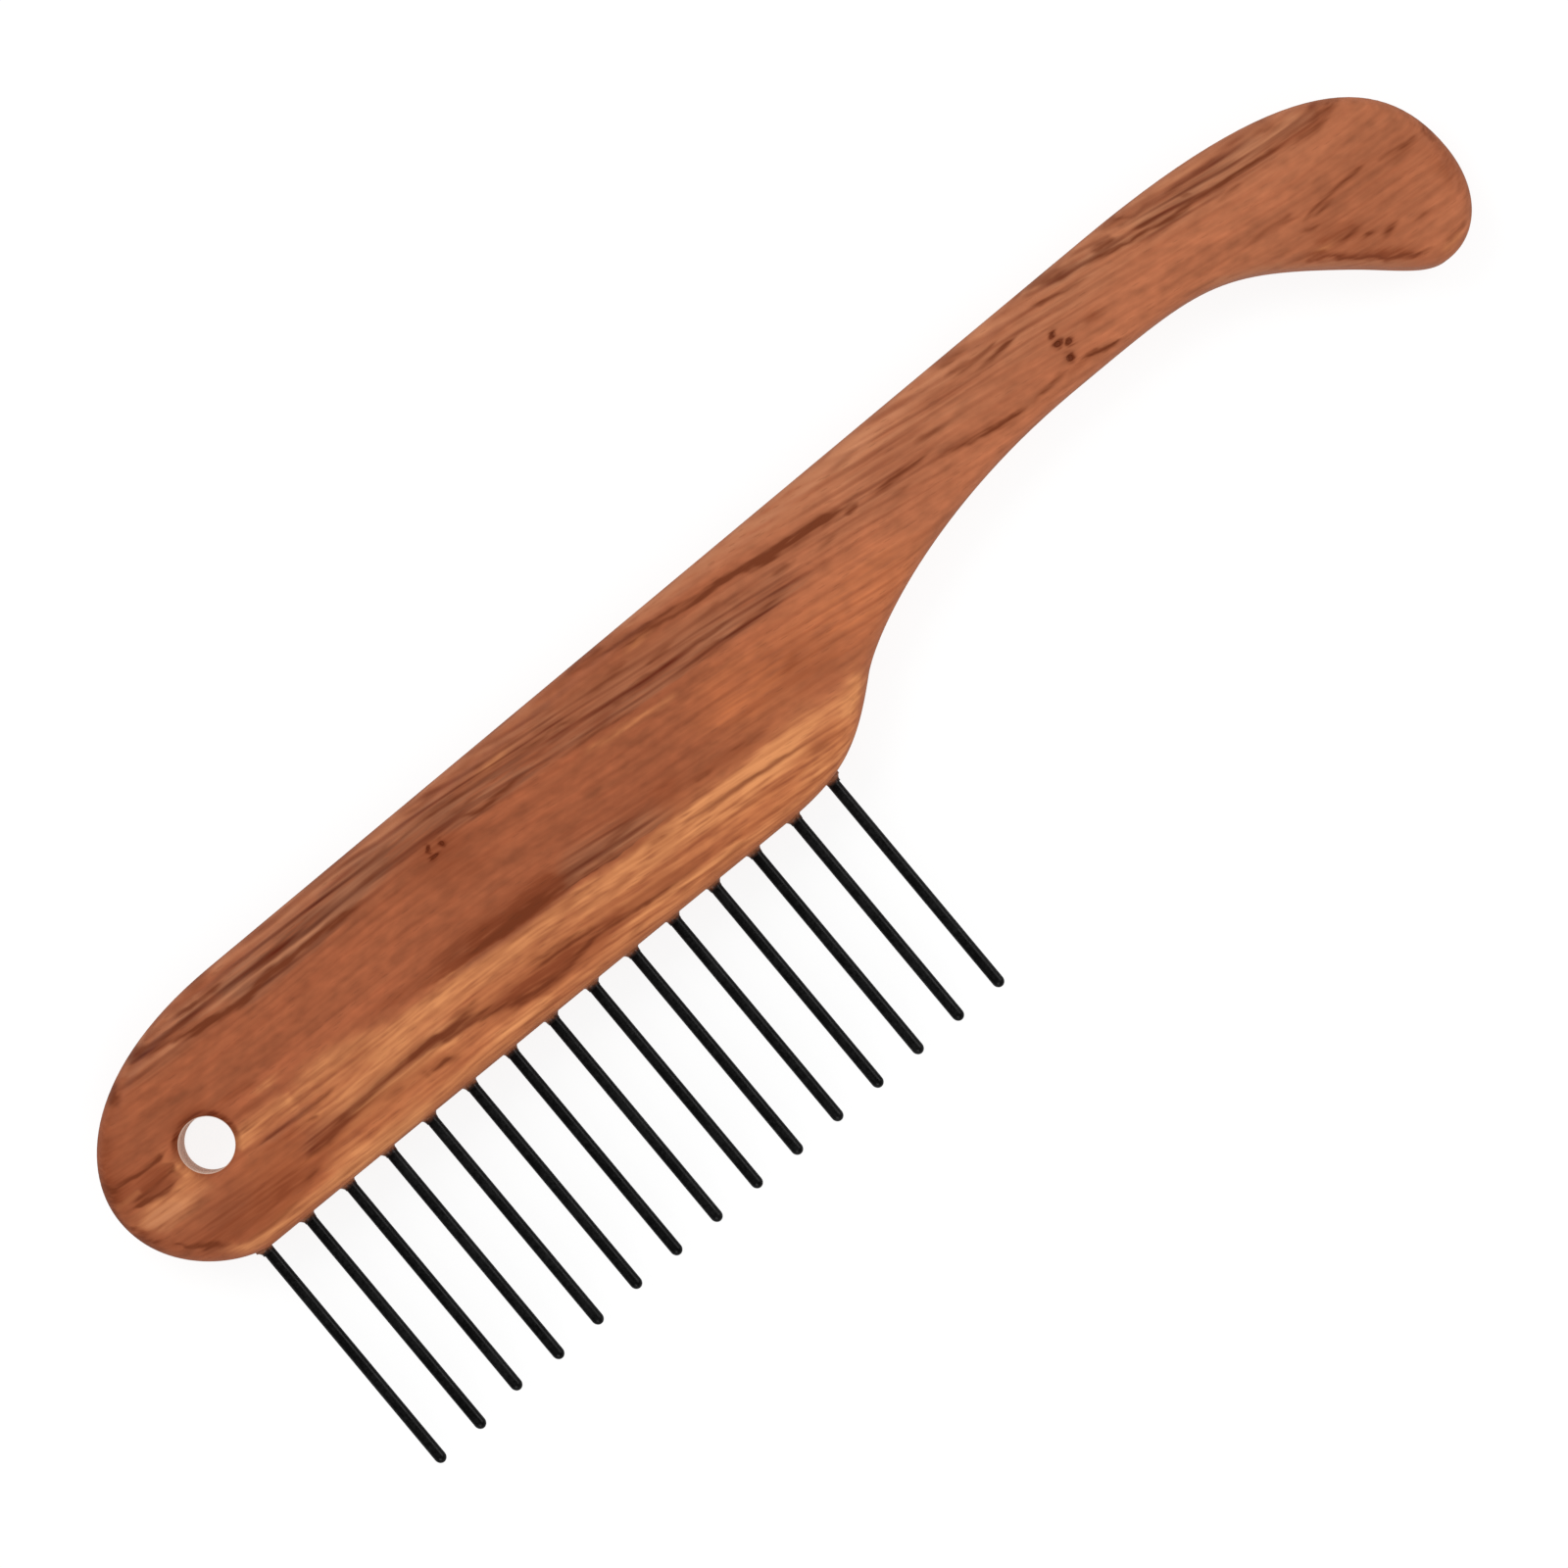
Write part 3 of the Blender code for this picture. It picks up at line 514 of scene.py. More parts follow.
        Streak(0.63, 0.63, 0.53, ((234, 32.7), (237, 33.5), (240, 33)), 2.4),
        # Painted shade: a dark line on the bulb's rounded lower flank.
        Streak(
            0.5, 0.45, 0.5,
            ((219, 23.4), (221, 25), (225.5, 28.7), (231.6, 32.5), (234.6, 33.3)), 3,
        ),
    ),
}


@dataclass(frozen=True)
class Wire:
    """A node's output, with which sums are written as with numbers."""

    graph: Graph
    socket: bpy.types.NodeSocket

    def __add__(self, other: Value) -> Wire:
        """Adds a value."""
        return self.graph.math("ADD", self, other)

    def __sub__(self, other: Value) -> Wire:
        """Takes a value away."""
        return self.graph.math("SUBTRACT", self, other)

    def __rsub__(self, other: Value) -> Wire:
        """Takes this away from a value."""
        return self.graph.math("SUBTRACT", other, self)

    def __mul__(self, other: Value) -> Wire:
        """Multiplies by a value."""
        return self.graph.math("MULTIPLY", self, other)

    def __truediv__(self, other: Value) -> Wire:
        """Divides by a value."""
        return self.graph.math("DIVIDE", self, other)


class Graph:
    """Adds nodes to a tree one after another and joins them."""

    def __init__(self, tree: bpy.types.NodeTree) -> None:
        """Keeps the tree that the nodes go into."""
        self.tree = tree

    def feed(self, socket: bpy.types.NodeSocket, value: Value) -> None:
        """Links a socket to a wire, or sets its number or colour.

        Args:
            socket: The socket.
            value: The wire, number, vector or colour.
        """
        if isinstance(value, Wire):
            self.tree.links.new(value.socket, socket)
        elif socket.type == "RGBA":
            socket.default_value = (*value, 1.0)
        else:
            socket.default_value = value

    def add(
        self, kind: str, inputs: dict[str | int, Value] | None = None, **settings: object
    ) -> bpy.types.Node:
        """Adds a node.

        Args:
            kind: The node's type name.
            inputs: What its inputs are fed, by their names or numbers.
            settings: Values for the node's own properties.

        Returns:
            The new node.
        """
        node = self.tree.nodes.new(kind)
        for key, value in settings.items():
            setattr(node, key, value)
        for key, value in (inputs or {}).items():
            self.feed(node.inputs[key], value)
        return node

    def read(self, kind: str, output: str | int, *values: Value, **settings: object) -> Wire:
        """Adds a node and takes one of its outputs.

        Args:
            kind: The node's type name.
            output: The output's name or number.
            values: What its inputs are fed, in their order.
            settings: Values for the node's own properties.

        Returns:
            The output.
        """
        return Wire(self, self.add(kind, dict(enumerate(values)), **settings).outputs[output])

    def math(self, operation: str, *values: Value) -> Wire:
        """Works one sum on one, two or three values."""
        return self.read("ShaderNodeMath", 0, *values, operation=operation)

    def remap(
        self,
        value: Value,
        low: Value,
        high: Value,
        to_low: Value = 0.0,
        to_high: Value = 1.0,
        curve: str = "SMOOTHSTEP",
    ) -> Wire:
        """Carries a value from one range to another, held at the ends unless the way is straight.

        Args:
            value: The value.
            low: Where the first range starts.
            high: Where the first range ends.
            to_low: What the start becomes.
            to_high: What the end becomes.
            curve: The way between them.

        Returns:
            The result.
        """
        given = (value, low, high, to_low, to_high)
        return self.read("ShaderNodeMapRange", 0, *given, interpolation_type=curve, clamp=False)

    def shrink(self, vector: Wire, sizes: Triple) -> Wire:
        """Divides a vector's three parts by three sizes."""
        shares = tuple(1 / size for size in sizes)
        return self.read("ShaderNodeVectorMath", 0, vector, shares, operation="MULTIPLY")

    def noise(self, vector: Wire, detail: float = 2.0) -> Wire:
        """Reads a noise of scale 1 at a vector.

        Args:
            vector: Where it is read.
            detail: How many finer layers it has.

        Returns:
            The noise, about 0.5.
        """
        inputs = {"Vector": vector, "Scale": 1.0, "Detail": detail}
        node = self.add("ShaderNodeTexNoise", inputs, noise_dimensions="3D")
        return Wire(self, node.outputs[0])

    def mix(self, amount: Value, first: Value, second: Value, blend: str = "MIX") -> Wire:
        """Lays a colour over another one.

        Args:
            amount: How much of the second one shows.
            first: The colour below.
            second: The colour laid over it.
            blend: The way it is laid.

        Returns:
            The mixed colour.
        """
        inputs = {0: amount, 6: first, 7: second}
        node = self.add("ShaderNodeMix", inputs, data_type="RGBA", blend_type=blend)
        return Wire(self, node.outputs[2])

    def bump(self, height: Wire, strength: float, distance: float) -> Wire:
        """Turns a height into a normal.

        Args:
            height: The height, from 0 to 1.
            strength: How much of it shows.
            distance: How deep a height of 1 is, in metres.

        Returns:
            The normal.
        """
        inputs = {"Strength": strength, "Distance": distance, "Height": height}
        return Wire(self, self.add("ShaderNodeBump", inputs).outputs[0])

    def place(self, group: bpy.types.NodeTree, *values: Value) -> Wire:
        """Places a node group and feeds its inputs in order."""
        return self.read("ShaderNodeGroup", 0, *values, node_tree=group)

    def follow(self, along: Wire, path: Path) -> Wire:
        """Reads the depth of a smooth path at a place along the board.

        The curve runs along in centimetres, because its points can't lie past 100.

        Args:
            along: The place along the board, in mm.
            path: The path's points, in mm along and in depth.

        Returns:
            The depth, in mm.
        """
        node = self.add("ShaderNodeFloatCurve", {"Value": along / MM_PER_CM})
        curve = node.mapping
        curve.clip_max_y = DEEPEST
        curve.clip_max_x = path[-1][0] / MM_PER_CM
        curve.clip_min_x = path[0][0] / MM_PER_CM
        points = curve.curves[0].points
        for _ in path[2:]:
            points.new(0.5, 0.5)
        for point, (place, depth) in zip(points, path):
            point.location = (place / MM_PER_CM, depth)
        curve.update()
        return Wire(self, node.outputs[0])

    def on_object(self) -> Wire:
        """Reads a point's place in its object, in mm."""
        source = self.read("ShaderNodeTexCoord", "Object")
        return self.shrink(source, (MM, MM, MM))

    def coat(self, colour: Value, roughness: Value, specular: float, normal: Wire) -> None:
        """Feeds the material's shader.

        Args:
            colour: Its base colour.
            roughness: Its roughness.
            specular: How strongly it mirrors light.
            normal: Its normal.
        """
        shader = self.tree.nodes["Principled BSDF"]
        self.feed(shader.inputs["Base Color"], colour)
        self.feed(shader.inputs["Roughness"], roughness)
        self.feed(shader.inputs["Specular IOR Level"], specular)
        self.feed(shader.inputs["Normal"], normal)


def new_group(name: str, inputs: tuple[str, ...], output: str) -> tuple[Graph, list[Wire]]:
    """Starts a shader node group of plain numbers.

    Args:
        name: The group's name.
        inputs: The names of its inputs.
        output: The name of its output.

    Returns:
        The group's graph and the wires of its inputs.
    """
    tree = bpy.data.node_groups.new(name, "ShaderNodeTree")
    for label in inputs:
        kind = "NodeSocketVector" if label == "Vector" else "NodeSocketFloat"
        tree.interface.new_socket(label, in_out="INPUT", socket_type=kind)
    tree.interface.new_socket(output, in_out="OUTPUT", socket_type="NodeSocketFloat")
    graph = Graph(tree)
    source = graph.add("NodeGroupInput")
    return graph, [Wire(graph, source.outputs[label]) for label in inputs]


def end_group(graph: Graph, result: Wire) -> bpy.types.NodeTree:
    """Feeds a node group's output and hands the group over."""
    graph.add("NodeGroupOutput", {0: result})
    return graph.tree


def streak_group() -> bpy.types.NodeTree:
    """Makes the group that masks one streak of the figure.

    Returns:
        The node group. Its mask is strongest on the path, and narrows and fades towards both ends.
    """
    ends = ("Start", "Risen", "Falling", "End")
    inputs = ("Along", "Depth", "Path", *ends, "Above", "Below", "Strength")
    graph, wires = new_group("streak", inputs, "Mask")
    along, depth, path, start, risen, falling, end, above, below, strength = wires
    ends = graph.remap(along, start, risen) * graph.remap(along, end, falling)
    offset = (depth - path) / graph.math("MULTIPLY_ADD", ends, 1.0 - BLUNTNESS, BLUNTNESS)
    reach = graph.math("MAXIMUM", offset / below, offset / above)
    bell = graph.math("EXPONENT", reach * (reach * -1.0))
    return end_group(graph, bell * strength * ends)


def patch_group() -> bpy.types.NodeTree:
    """Makes the group that masks one soft oval of the figure.

    Returns:
        The node group. Its mask is whole inside the core and falls off outside it.
    """
    inputs = ("Along", "Depth", "Centre", "Level", "Length", "Height", "Tilt", "Core", "Strength")
    graph, wires = new_group("patch", inputs, "Mask")
    along, depth, centre, level, length, height, tilt, core, strength = wires
    run = along - centre
    sideways = run / length
    upright = (depth - level - run * tilt) / height
    spread = graph.math("MULTIPLY_ADD", sideways, sideways, upright * upright)
    outside = graph.math("MAXIMUM", (spread - core) / (OVAL_REACH - core), 0.0)
    return end_group(graph, graph.math("EXPONENT", outside * OVAL_FALL) * strength)


def mottle_group() -> bpy.types.NodeTree:
    """Makes the group that varies a value over a surface, in large soft clouds and small flecks.

    Returns:
        The node group. Its value runs from Low to High.
    """
    graph, wires = new_group("mottle", ("Vector", "Cloud", "Fleck", "Low", "High"), "Value")
    vector, cloud, fleck, low, high = wires
    parts = []
    for size in (cloud, fleck):
        inputs = {0: vector, "Scale": graph.math("DIVIDE", 1.0, size)}
        scaled = graph.add("ShaderNodeVectorMath", inputs, operation="SCALE")
        parts.append(graph.noise(Wire(graph, scaled.outputs[0])))
    return end_group(graph, graph.remap((parts[0] + parts[1]) * 0.5, *NOISE_RANGE, low, high))


@dataclass(frozen=True)
class Groups:
    """The node groups that the finishes share."""

    streak: bpy.types.NodeTree
    patch: bpy.types.NodeTree
    mottle: bpy.types.NodeTree

    @classmethod
    def make(cls) -> Groups:
        """Builds each group once."""
        return cls(streak=streak_group(), patch=patch_group(), mottle=mottle_group())


def new_material(name: str) -> tuple[bpy.types.Material, Graph]:
    """Starts a material.

    Args:
        name: Its name.

    Returns:
        The material and its graph.
    """
    material = bpy.data.materials.new(name)
    material.use_nodes = True
    return material, Graph(material.node_tree)


@dataclass(frozen=True)
class Board:
    """Where the board that the handle is cut from lies in the frame, in metres."""

    nose: float
    back: float
    thickness: float

    @classmethod
    def from_frame(cls) -> Board:
        """Reads the board off the handle's solid."""
        low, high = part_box("handle")
        return cls(nose=low.x, back=high.y, thickness=high.z - low.z)

    def place(self, along: float, depth: float, height: float = 0.0) -> Vector:
        """Places a point of the board.

        Args:
            along: Millimetres from the nose.
            depth: Millimetres below the back edge.
            height: Metres above the resting face.

        Returns:
            The point in the frame.
        """
        return Vector((self.nose + along * MM, self.back - depth * MM, height))


@dataclass(frozen=True)
class Spot:
    """Where a point of the wood lies on the board, in mm, and what its grain is like there."""

    place: Wire
    along: Wire
    depth: Wire
    height: Wire
    leaned: Wire
    flow: Wire
    grain: Wire
    layers: dict[Layer, Wire]

    def weigh(self, weights: Weights) -> Wire:
        """Adds layers of the grain up, each times its weight."""
        return add_up([self.layers[layer] * weight for layer, weight in weights])


def add_up(parts: list[Wire]) -> Wire:
    """Adds wires up in their order."""
    return sum(parts[1:], parts[0])


@dataclass(frozen=True)
class Hardwood:
    """Oiled reddish-brown hardwood with a listed figure over its own grain."""

    board: Board
    groups: Groups
    head: Colour = (0.360, 0.101, 0.041)
    grip: Colour = (0.454, 0.146, 0.065)
    head_to_grip: Pair = (100.0, 150.0)
    pore: Colour = (0.09, 0.026, 0.010)
    # Painted sheen: the greyer, pinker tint laid on the rounded edges and sides.
    side: Colour = (0.33, 0.112, 0.054)
    # Painted light: the hole's wall is painted this pale colour. The next colour is the pits' dark
    # stain and also the painted shade on the hole's rim.
    painted_lit_wall: Colour = (0.88, 0.68, 0.56)
    pit_stain_and_rim_shade: Colour = (0.125, 0.017, 0.002)
    lean: float = 0.55
    tone: Weights = ((Layer.CLOUD, 0.55), (Layer.STRAND, 0.25), (Layer.FLECK, 0.62))
    tone_least: float = 0.285
    fray: Weights = ((Layer.THREAD, 1.4), (Layer.FLECK, 0.8), (Layer.FIBRE, 1.5))
    fray_cut: float = 0.9
    waver_along: float = 3.0
    waver_depth: float = -0.55
    figure_most: float = 0.95
    figure_ease: float = 0.35
    line_least: float = 0.16
    line_full: float = 0.75
    line_tint: Colour = (1.3, 1.75, 1.9)
    line_middle: float = 0.41
    ring_drift: float = 13.0
    ring_turn: float = 3.7
    ring_cut: float = 0.1
    ring_strength: float = -0.34
    pore_size: Triple = (3.4, 0.42, 0.8)
    pore_edge: Pair = (0.26, 0.12)
    pore_clouds: Pair = (0.38, 0.6)
    pore_strength: float = 0.18
    pore_roughness: float = 0.2
    pore_relief: float = -0.9
    stain_spread: float = 1.8
    stain_rag: float = 1.8
    stain_core: float = 0.35
    stain_strength: float = 0.84
    # Where the painted shade on the hole's rim fades out, how it leans and how strong it is from
    # side to side, then where the painted pale wall starts.
    rim_shade_edge: Pair = (1.25, 0.55)
    rim_shade_lean: float = -0.6
    rim_shade_side: tuple[float, ...] = (11.0, 7.5, 0.06, 0.62)
    lit_wall_edge: Pair = (0.14, 0.02)
    # Where the painted sheen starts and is whole, in mm through the board from each face, and how
    # strongly it shows.
    sheen_band: Pair = (0.2, 2.4)
    sheen_strength: float = 0.30
    patina: Mottle = (14.0, 1.1, -0.05, 0.06)
    roughness: float = 0.48
    specular: float = 0.10
    relief: Weights = ((Layer.FIBRE, 0.5), (Layer.STRAND, 0.35))
    relief_strength: float = 0.35
    relief_depth: float = 0.06 * MM

    def build(self) -> bpy.types.Material:
        """Builds the material.

        Returns:
            The material.
        """
        material, graph = new_material("oiled_hardwood")
        spot = self.spot(graph)
        fray = graph.math("MAXIMUM", spot.weigh(self.fray) - self.fray_cut, 0.0)
        pores = self.pores(graph, spot)
        colour = self.lay_figure(graph, spot, self.ground(graph, spot), fray)
        colour = graph.mix(pores * self.pore_strength, colour, self.pore)
        colour = graph.mix(self.stain(graph, spot), colour, self.pit_stain_and_rim_shade)
        # Painted shade on the hole's rounded rim, and painted light on its wall.
        colour = self.rim_hole(graph, spot, colour, fray)
        # Painted sheen on the rounded edges and sides.
        colour = graph.mix(self.edge(graph, spot) * self.sheen_strength, colour, self.side)
        patina = graph.place(self.groups.mottle, spot.place, *self.patina)
        roughness = pores * self.pore_roughness + (patina + self.roughness)
        relief = pores * self.pore_relief + spot.weigh(self.relief)
        normal = graph.bump(relief, self.relief_strength, self.relief_depth)
        graph.coat(colour, roughness, self.specular, normal)
        return material

    def spot(self, graph: Graph) -> Spot:
        """Reads a point's place on the board and its grain.

        Args:
            graph: Where the nodes go.

        Returns:
            The point's wires. Its leaned depth is where the figure that slopes down through the
            board meets the upper face, and its flow is that depth without the grain's drift.
        """
        inputs = {
            "Vector": graph.read("ShaderNodeTexCoord", "Object"),
            "Scale": (1 / MM, -1 / MM, 1 / MM),
            "Location": (-self.board.nose / MM, self.board.back / MM, 0.0),
        }
        mapping = graph.add("ShaderNodeMapping", inputs, vector_type="POINT")
        place = Wire(graph, mapping.outputs[0])
        parts = graph.add("ShaderNodeSeparateXYZ", {0: place})
        along, depth, height = (Wire(graph, output) for output in parts.outputs)
        leaned = (self.board.thickness / MM - height) * self.lean + depth
        flow = leaned - graph.follow(along, GRAIN_DRIFT)
        grain = graph.read("ShaderNodeCombineXYZ", 0, along, flow, height)
        layers = {}
        for layer in Layer:
            sizes, detail = layer.value
            layers[layer] = graph.noise(graph.shrink(grain, sizes), detail)
        return Spot(place, along, depth, height, leaned, flow, grain, layers)

    def ground(self, graph: Graph, spot: Spot) -> Wire:
        """Colours the plain wood.

        Args:
            graph: Where the nodes go.
            spot: The point.

        Returns:
            The colour.
        """
        share = graph.remap(spot.along, *self.head_to_grip)
        plain = graph.mix(share, self.head, self.grip)
        inputs = {0: plain, "Scale": spot.weigh(self.tone) + self.tone_least}
        return Wire(graph, graph.add("ShaderNodeVectorMath", inputs, operation="SCALE").outputs[0])

    def lay_figure(self, graph: Graph, spot: Spot, colour: Wire, fray: Wire) -> Wire:
        """Lays the streaks and patches of the figure and the painted edge light over the plain
        wood, shade by shade.

        Args:
            graph: Where the nodes go.
            spot: The point.
            colour: The plain wood's colour.
            fray: How much of each mark shows, about 1.

        Returns:
            The colour.
        """
        waver = spot.layers[Layer.WOBBLE] - NOISE_MIDDLE
        along = waver * self.waver_along + spot.along
        depth = waver * self.waver_depth + spot.leaned
        lined = self.line_least
        for shade in Shade:
            if shade is Shade.RUSSET:
                colour = self.line(graph, spot, colour, lined)
            total = add_up([self.mask(graph, mark, along, depth) for mark in FIGURE_AND_PAINTED_EDGE_LIGHT[shade]])
            if shade in LINED:
                lined = graph.math("MINIMUM", total, self.line_full) * LINED[shade] + lined
            amount = graph.math("SMOOTH_MIN", total * fray, self.figure_most, self.figure_ease)
            colour = graph.mix(amount, colour, shade.value)
        return colour

    def line(self, graph: Graph, spot: Spot, colour: Wire, lined: Wire) -> Wire:
        """Draws fine lighter and darker lines through the wood.

        Args:
            graph: Where the nodes go.
            spot: The point.
            colour: The colour below.
            lined: How strongly the lines show.

        Returns:
            The colour.
        """
        turn = spot.layers[Layer.DRIFT] * self.ring_drift + spot.flow * self.ring_turn
        ring = graph.math("MAXIMUM", graph.math("SINE", turn) - self.ring_cut, 0.0)
        swing = ring * self.ring_strength + (spot.layers[Layer.THREAD] - self.line_middle)
        given = (lined * swing, self.line_tint, WHITE)
        tint = graph.read("ShaderNodeVectorMath", 0, *given, operation="MULTIPLY_ADD")
        return graph.mix(1.0, colour, tint, "MULTIPLY")

    def mask(self, graph: Graph, mark: Streak | Patch, along: Wire, depth: Wire) -> Wire:
        """Masks one mark of the figure.

        Args:
            graph: Where the nodes go.
            mark: The streak or patch.
            along: The place along the board, in mm.
            depth: The depth on the board, in mm.

        Returns:
            The mask.
        """
        if isinstance(mark, Patch):
            size = (mark.half_length, mark.half_depth, mark.tilt, 1.0 - mark.softness)
            shape = (*mark.centre, *size, mark.strength)
            return graph.place(self.groups.patch, along, depth, *shape)
        start, end = mark.path[0][0], mark.path[-1][0]
        ends = (start, start + mark.fade, end - mark.fade, end)
        shape = (graph.follow(along, mark.path), *ends, -mark.above, mark.below, mark.strength)
        return graph.place(self.groups.streak, along, depth, *shape)

    def pores(self, graph: Graph, spot: Spot) -> Wire:
        """Masks the open pores, which show as short dark dashes along the grain.

        Args:
            graph: Where the nodes go.
            spot: The point.

        Returns:
            The mask.
        """
        inputs = {"Vector": graph.shrink(spot.grain, self.pore_size), "Scale": 1.0}
        cells = graph.add("ShaderNodeTexVoronoi", inputs, feature="F1", voronoi_dimensions="3D")
        dash = graph.remap(Wire(graph, cells.outputs["Distance"]), *self.pore_edge)
        return dash * graph.remap(spot.layers[Layer.CLOUD], *self.pore_clouds)

    def stain(self, graph: Graph, spot: Spot) -> Wire:
        """Masks the ragged dark stain in and round each torn-out pit.

        Args:
            graph: Where the nodes go.
            spot: The point.

        Returns:
            The mask.
        """
        along = (spot.layers[Layer.FLECK] - NOISE_MIDDLE) * self.stain_rag + spot.along
        depth = (spot.layers[Layer.FIBRE] - NOISE_MIDDLE) + spot.depth
        total = 0.0
        for pit in PITS:
            size = (pit.half_length * self.stain_spread, pit.half_depth * self.stain_spread)
            shape = (pit.along, pit.depth, *size, 0.0, self.stain_core, self.stain_strength)
            mask = graph.place(self.groups.patch, along, depth, *shape)
            total = graph.math("MAXIMUM", total, mask)
        return total

    def rim_hole(self, graph: Graph, spot: Spot, colour: Wire, fray: Wire) -> Wire:
        """Paints shade on the hanging hole's rounded rim, most on its grip side, and paints its
        wall pale as if lit.

        Args:
            graph: Where the nodes go.
            spot: The point.
            colour: The colour below.
            fray: How much of the painted rim shade shows, about 1.

        Returns:
            The colour.
        """
        run = spot.along - HANGING_HOLE.along
        drop = spot.depth - HANGING_HOLE.depth
        away = graph.math("SQRT", run * run + drop * drop) - HANGING_HOLE.radius
        ring = graph.remap(away, *self.rim_shade_edge) * fray
        side = spot.along * self.rim_shade_lean + spot.depth
        ring = ring * graph.remap(side, *self.rim_shade_side)
        colour = graph.mix(ring, colour, self.pit_stain_and_rim_shade)
        return graph.mix(graph.remap(away, *self.lit_wall_edge), colour, self.painted_lit_wall)

    def edge(self, graph: Graph, spot: Spot) -> Wire:
        """Masks the rounded edges and sides of the board, for a greyer, pinker tint of painted
        sheen.

        Args:
            graph: Where the nodes go.
            spot: The point.

        Returns:
            The mask.
        """
        middle = self.board.thickness / MM / 2
        away = graph.math("ABSOLUTE", spot.height - middle)
        return graph.remap(away, *(middle - inset for inset in self.sheen_band))


@dataclass(frozen=True)
class PinCoating:
    """Semi-matt black coating on steel."""

    groups: Groups
    colour: Colour = (0.0012, 0.0012, 0.0013)
    scuffed: Colour = (0.0060, 0.0060, 0.0062)
    scuffs: Mottle = (5.0, 0.7, -0.4, 1.0)
    roughness: Mottle = (3.0, 0.35, 0.28, 0.44)
    specular: float = 0.30
    peel: Triple = (0.22, 0.32, 0.22)
    peel_depth: float = 0.02 * MM
    peel_strength: float = 0.4

    def build(self) -> bpy.types.Material:
        """Builds the material.

        Returns:
            The material.
        """
        material, graph = new_material("black_pin_coating")
        place = graph.on_object()
        scuff = graph.place(self.groups.mottle, place, *self.scuffs)
        colour = graph.mix(graph.math("MAXIMUM", scuff, 0.0), self.colour, self.scuffed)
        roughness = graph.place(self.groups.mottle, place, *self.roughness)
        peel = graph.noise(graph.shrink(place, self.peel))
        normal = graph.bump(peel, self.peel_strength, self.peel_depth)
        graph.coat(colour, roughness, self.specular, normal)
        return material


@dataclass(frozen=True)
class Resin:
    """Cured amber-brown adhesive, wood-coloured where it is thin and near black at its lip."""

    groups: Groups
    foot: Colour = (0.26, 0.085, 0.034)
    body: Colour = (0.060, 0.020, 0.010)
    lip: Colour = (0.012, 0.008, 0.007)
    foot_to_body: Pair = (0.16, 0.60)
    body_to_lip: Pair = (0.52, 0.95)
    clouds: Mottle = (0.9, 0.3, -0.16, 0.16)
    roughness: Mottle = (1.2, 0.25, 0.25, 0.45)
    specular: float = 0.30
    ripple: Triple = (0.35, 0.35, 0.35)
    ripple_depth: float = 0.04 * MM
    ripple_strength: float = 0.4

    def build(self) -> bpy.types.Material:
        """Builds the material.

        Returns:
            The material.
        """
        material, graph = new_material("cured_resin")
        place = graph.on_object()
        settings = {"attribute_type": "GEOMETRY", "attribute_name": CLIMB}
        climb = graph.read("ShaderNodeAttribute", "Fac", **settings)
        reach = climb + graph.place(self.groups.mottle, place, *self.clouds)
        colour = graph.mix(graph.remap(reach, *self.foot_to_body), self.foot, self.body)
        colour = graph.mix(graph.remap(reach, *self.body_to_lip), colour, self.lip)
        roughness = graph.place(self.groups.mottle, place, *self.roughness)
        ripple = graph.noise(graph.shrink(place, self.ripple))
        normal = graph.bump(ripple, self.ripple_strength, self.ripple_depth)
        graph.coat(colour, roughness, self.specular, normal)
        return material


def add_to_scene(name: str, data: bpy.types.ID) -> bpy.types.Object:
    """Makes an object of a mesh, curve, lamp or camera, and adds it to the scene.

    Args:
        name: The object's name.
        data: What it shows.

    Returns:
        The object, at the origin.
    """
    obj = bpy.data.objects.new(name, data)
    bpy.context.scene.collection.objects.link(obj)
    return obj


def new_object(name: str, shape: bmesh.types.BMesh) -> bpy.types.Object:
    """Makes an object at the origin from a finished shape.

    Args:
        name: The object's name.
        shape: The shape, which is freed.

    Returns:
        The object.
    """
    mesh = bpy.data.meshes.new(name)
    shape.to_mesh(mesh)
    shape.free()
    return add_to_scene(name, mesh)


def finished_mesh(obj: bpy.types.Object) -> bpy.types.Mesh:
    """Makes a mesh of an object as its modifiers or its curve leave it."""
    graph = bpy.context.evaluated_depsgraph_get()
    return bpy.data.meshes.new_from_object(obj.evaluated_get(graph))


def apply_modifiers(obj: bpy.types.Object) -> None:
    """Turns an object's modifiers into its mesh.

    Args:
        obj: The object.
    """
    mesh = finished_mesh(obj)
    mesh.name = obj.name
    obj.modifiers.clear()
    obj.data = mesh


def turned(profile: list[Pair], steps: int) -> bmesh.types.BMesh:
    """Turns a profile round the Z axis.

    Args:
        profile: Points of (radius, height).
        steps: How many steps a full turn has.

    Returns:
        The turned shape, its poles welded and its faces outwards.
    """
    shape = bmesh.new()
    points = [shape.verts.new((radius, 0.0, height)) for radius, height in profile]
    edges = [shape.edges.new(pair) for pair in zip(points, points[1:])]
    bmesh.ops.spin(
        shape,
        geom=points + edges,
        cent=(0.0, 0.0, 0.0),
        axis=(0.0, 0.0, 1.0),
        angle=math.tau,
        steps=steps,
        use_merge=True,
    )
    bmesh.ops.remove_doubles(shape, verts=shape.verts, dist=WELD)
    bmesh.ops.recalc_face_normals(shape, faces=shape.faces)
    return shape


def quarter_arc(steps: int) -> list[float]:
    """The angles of a quarter turn, in even steps."""
    return [math.pi / 2 * i / steps for i in range(steps + 1)]


def soften(obj: bpy.types.Object, crease: float) -> None:
    """Shades an object smoothly, with a crease wherever its faces meet at more than an angle."""
    obj.data.shade_smooth()
    obj.data.set_sharp_from_angle(angle=crease)


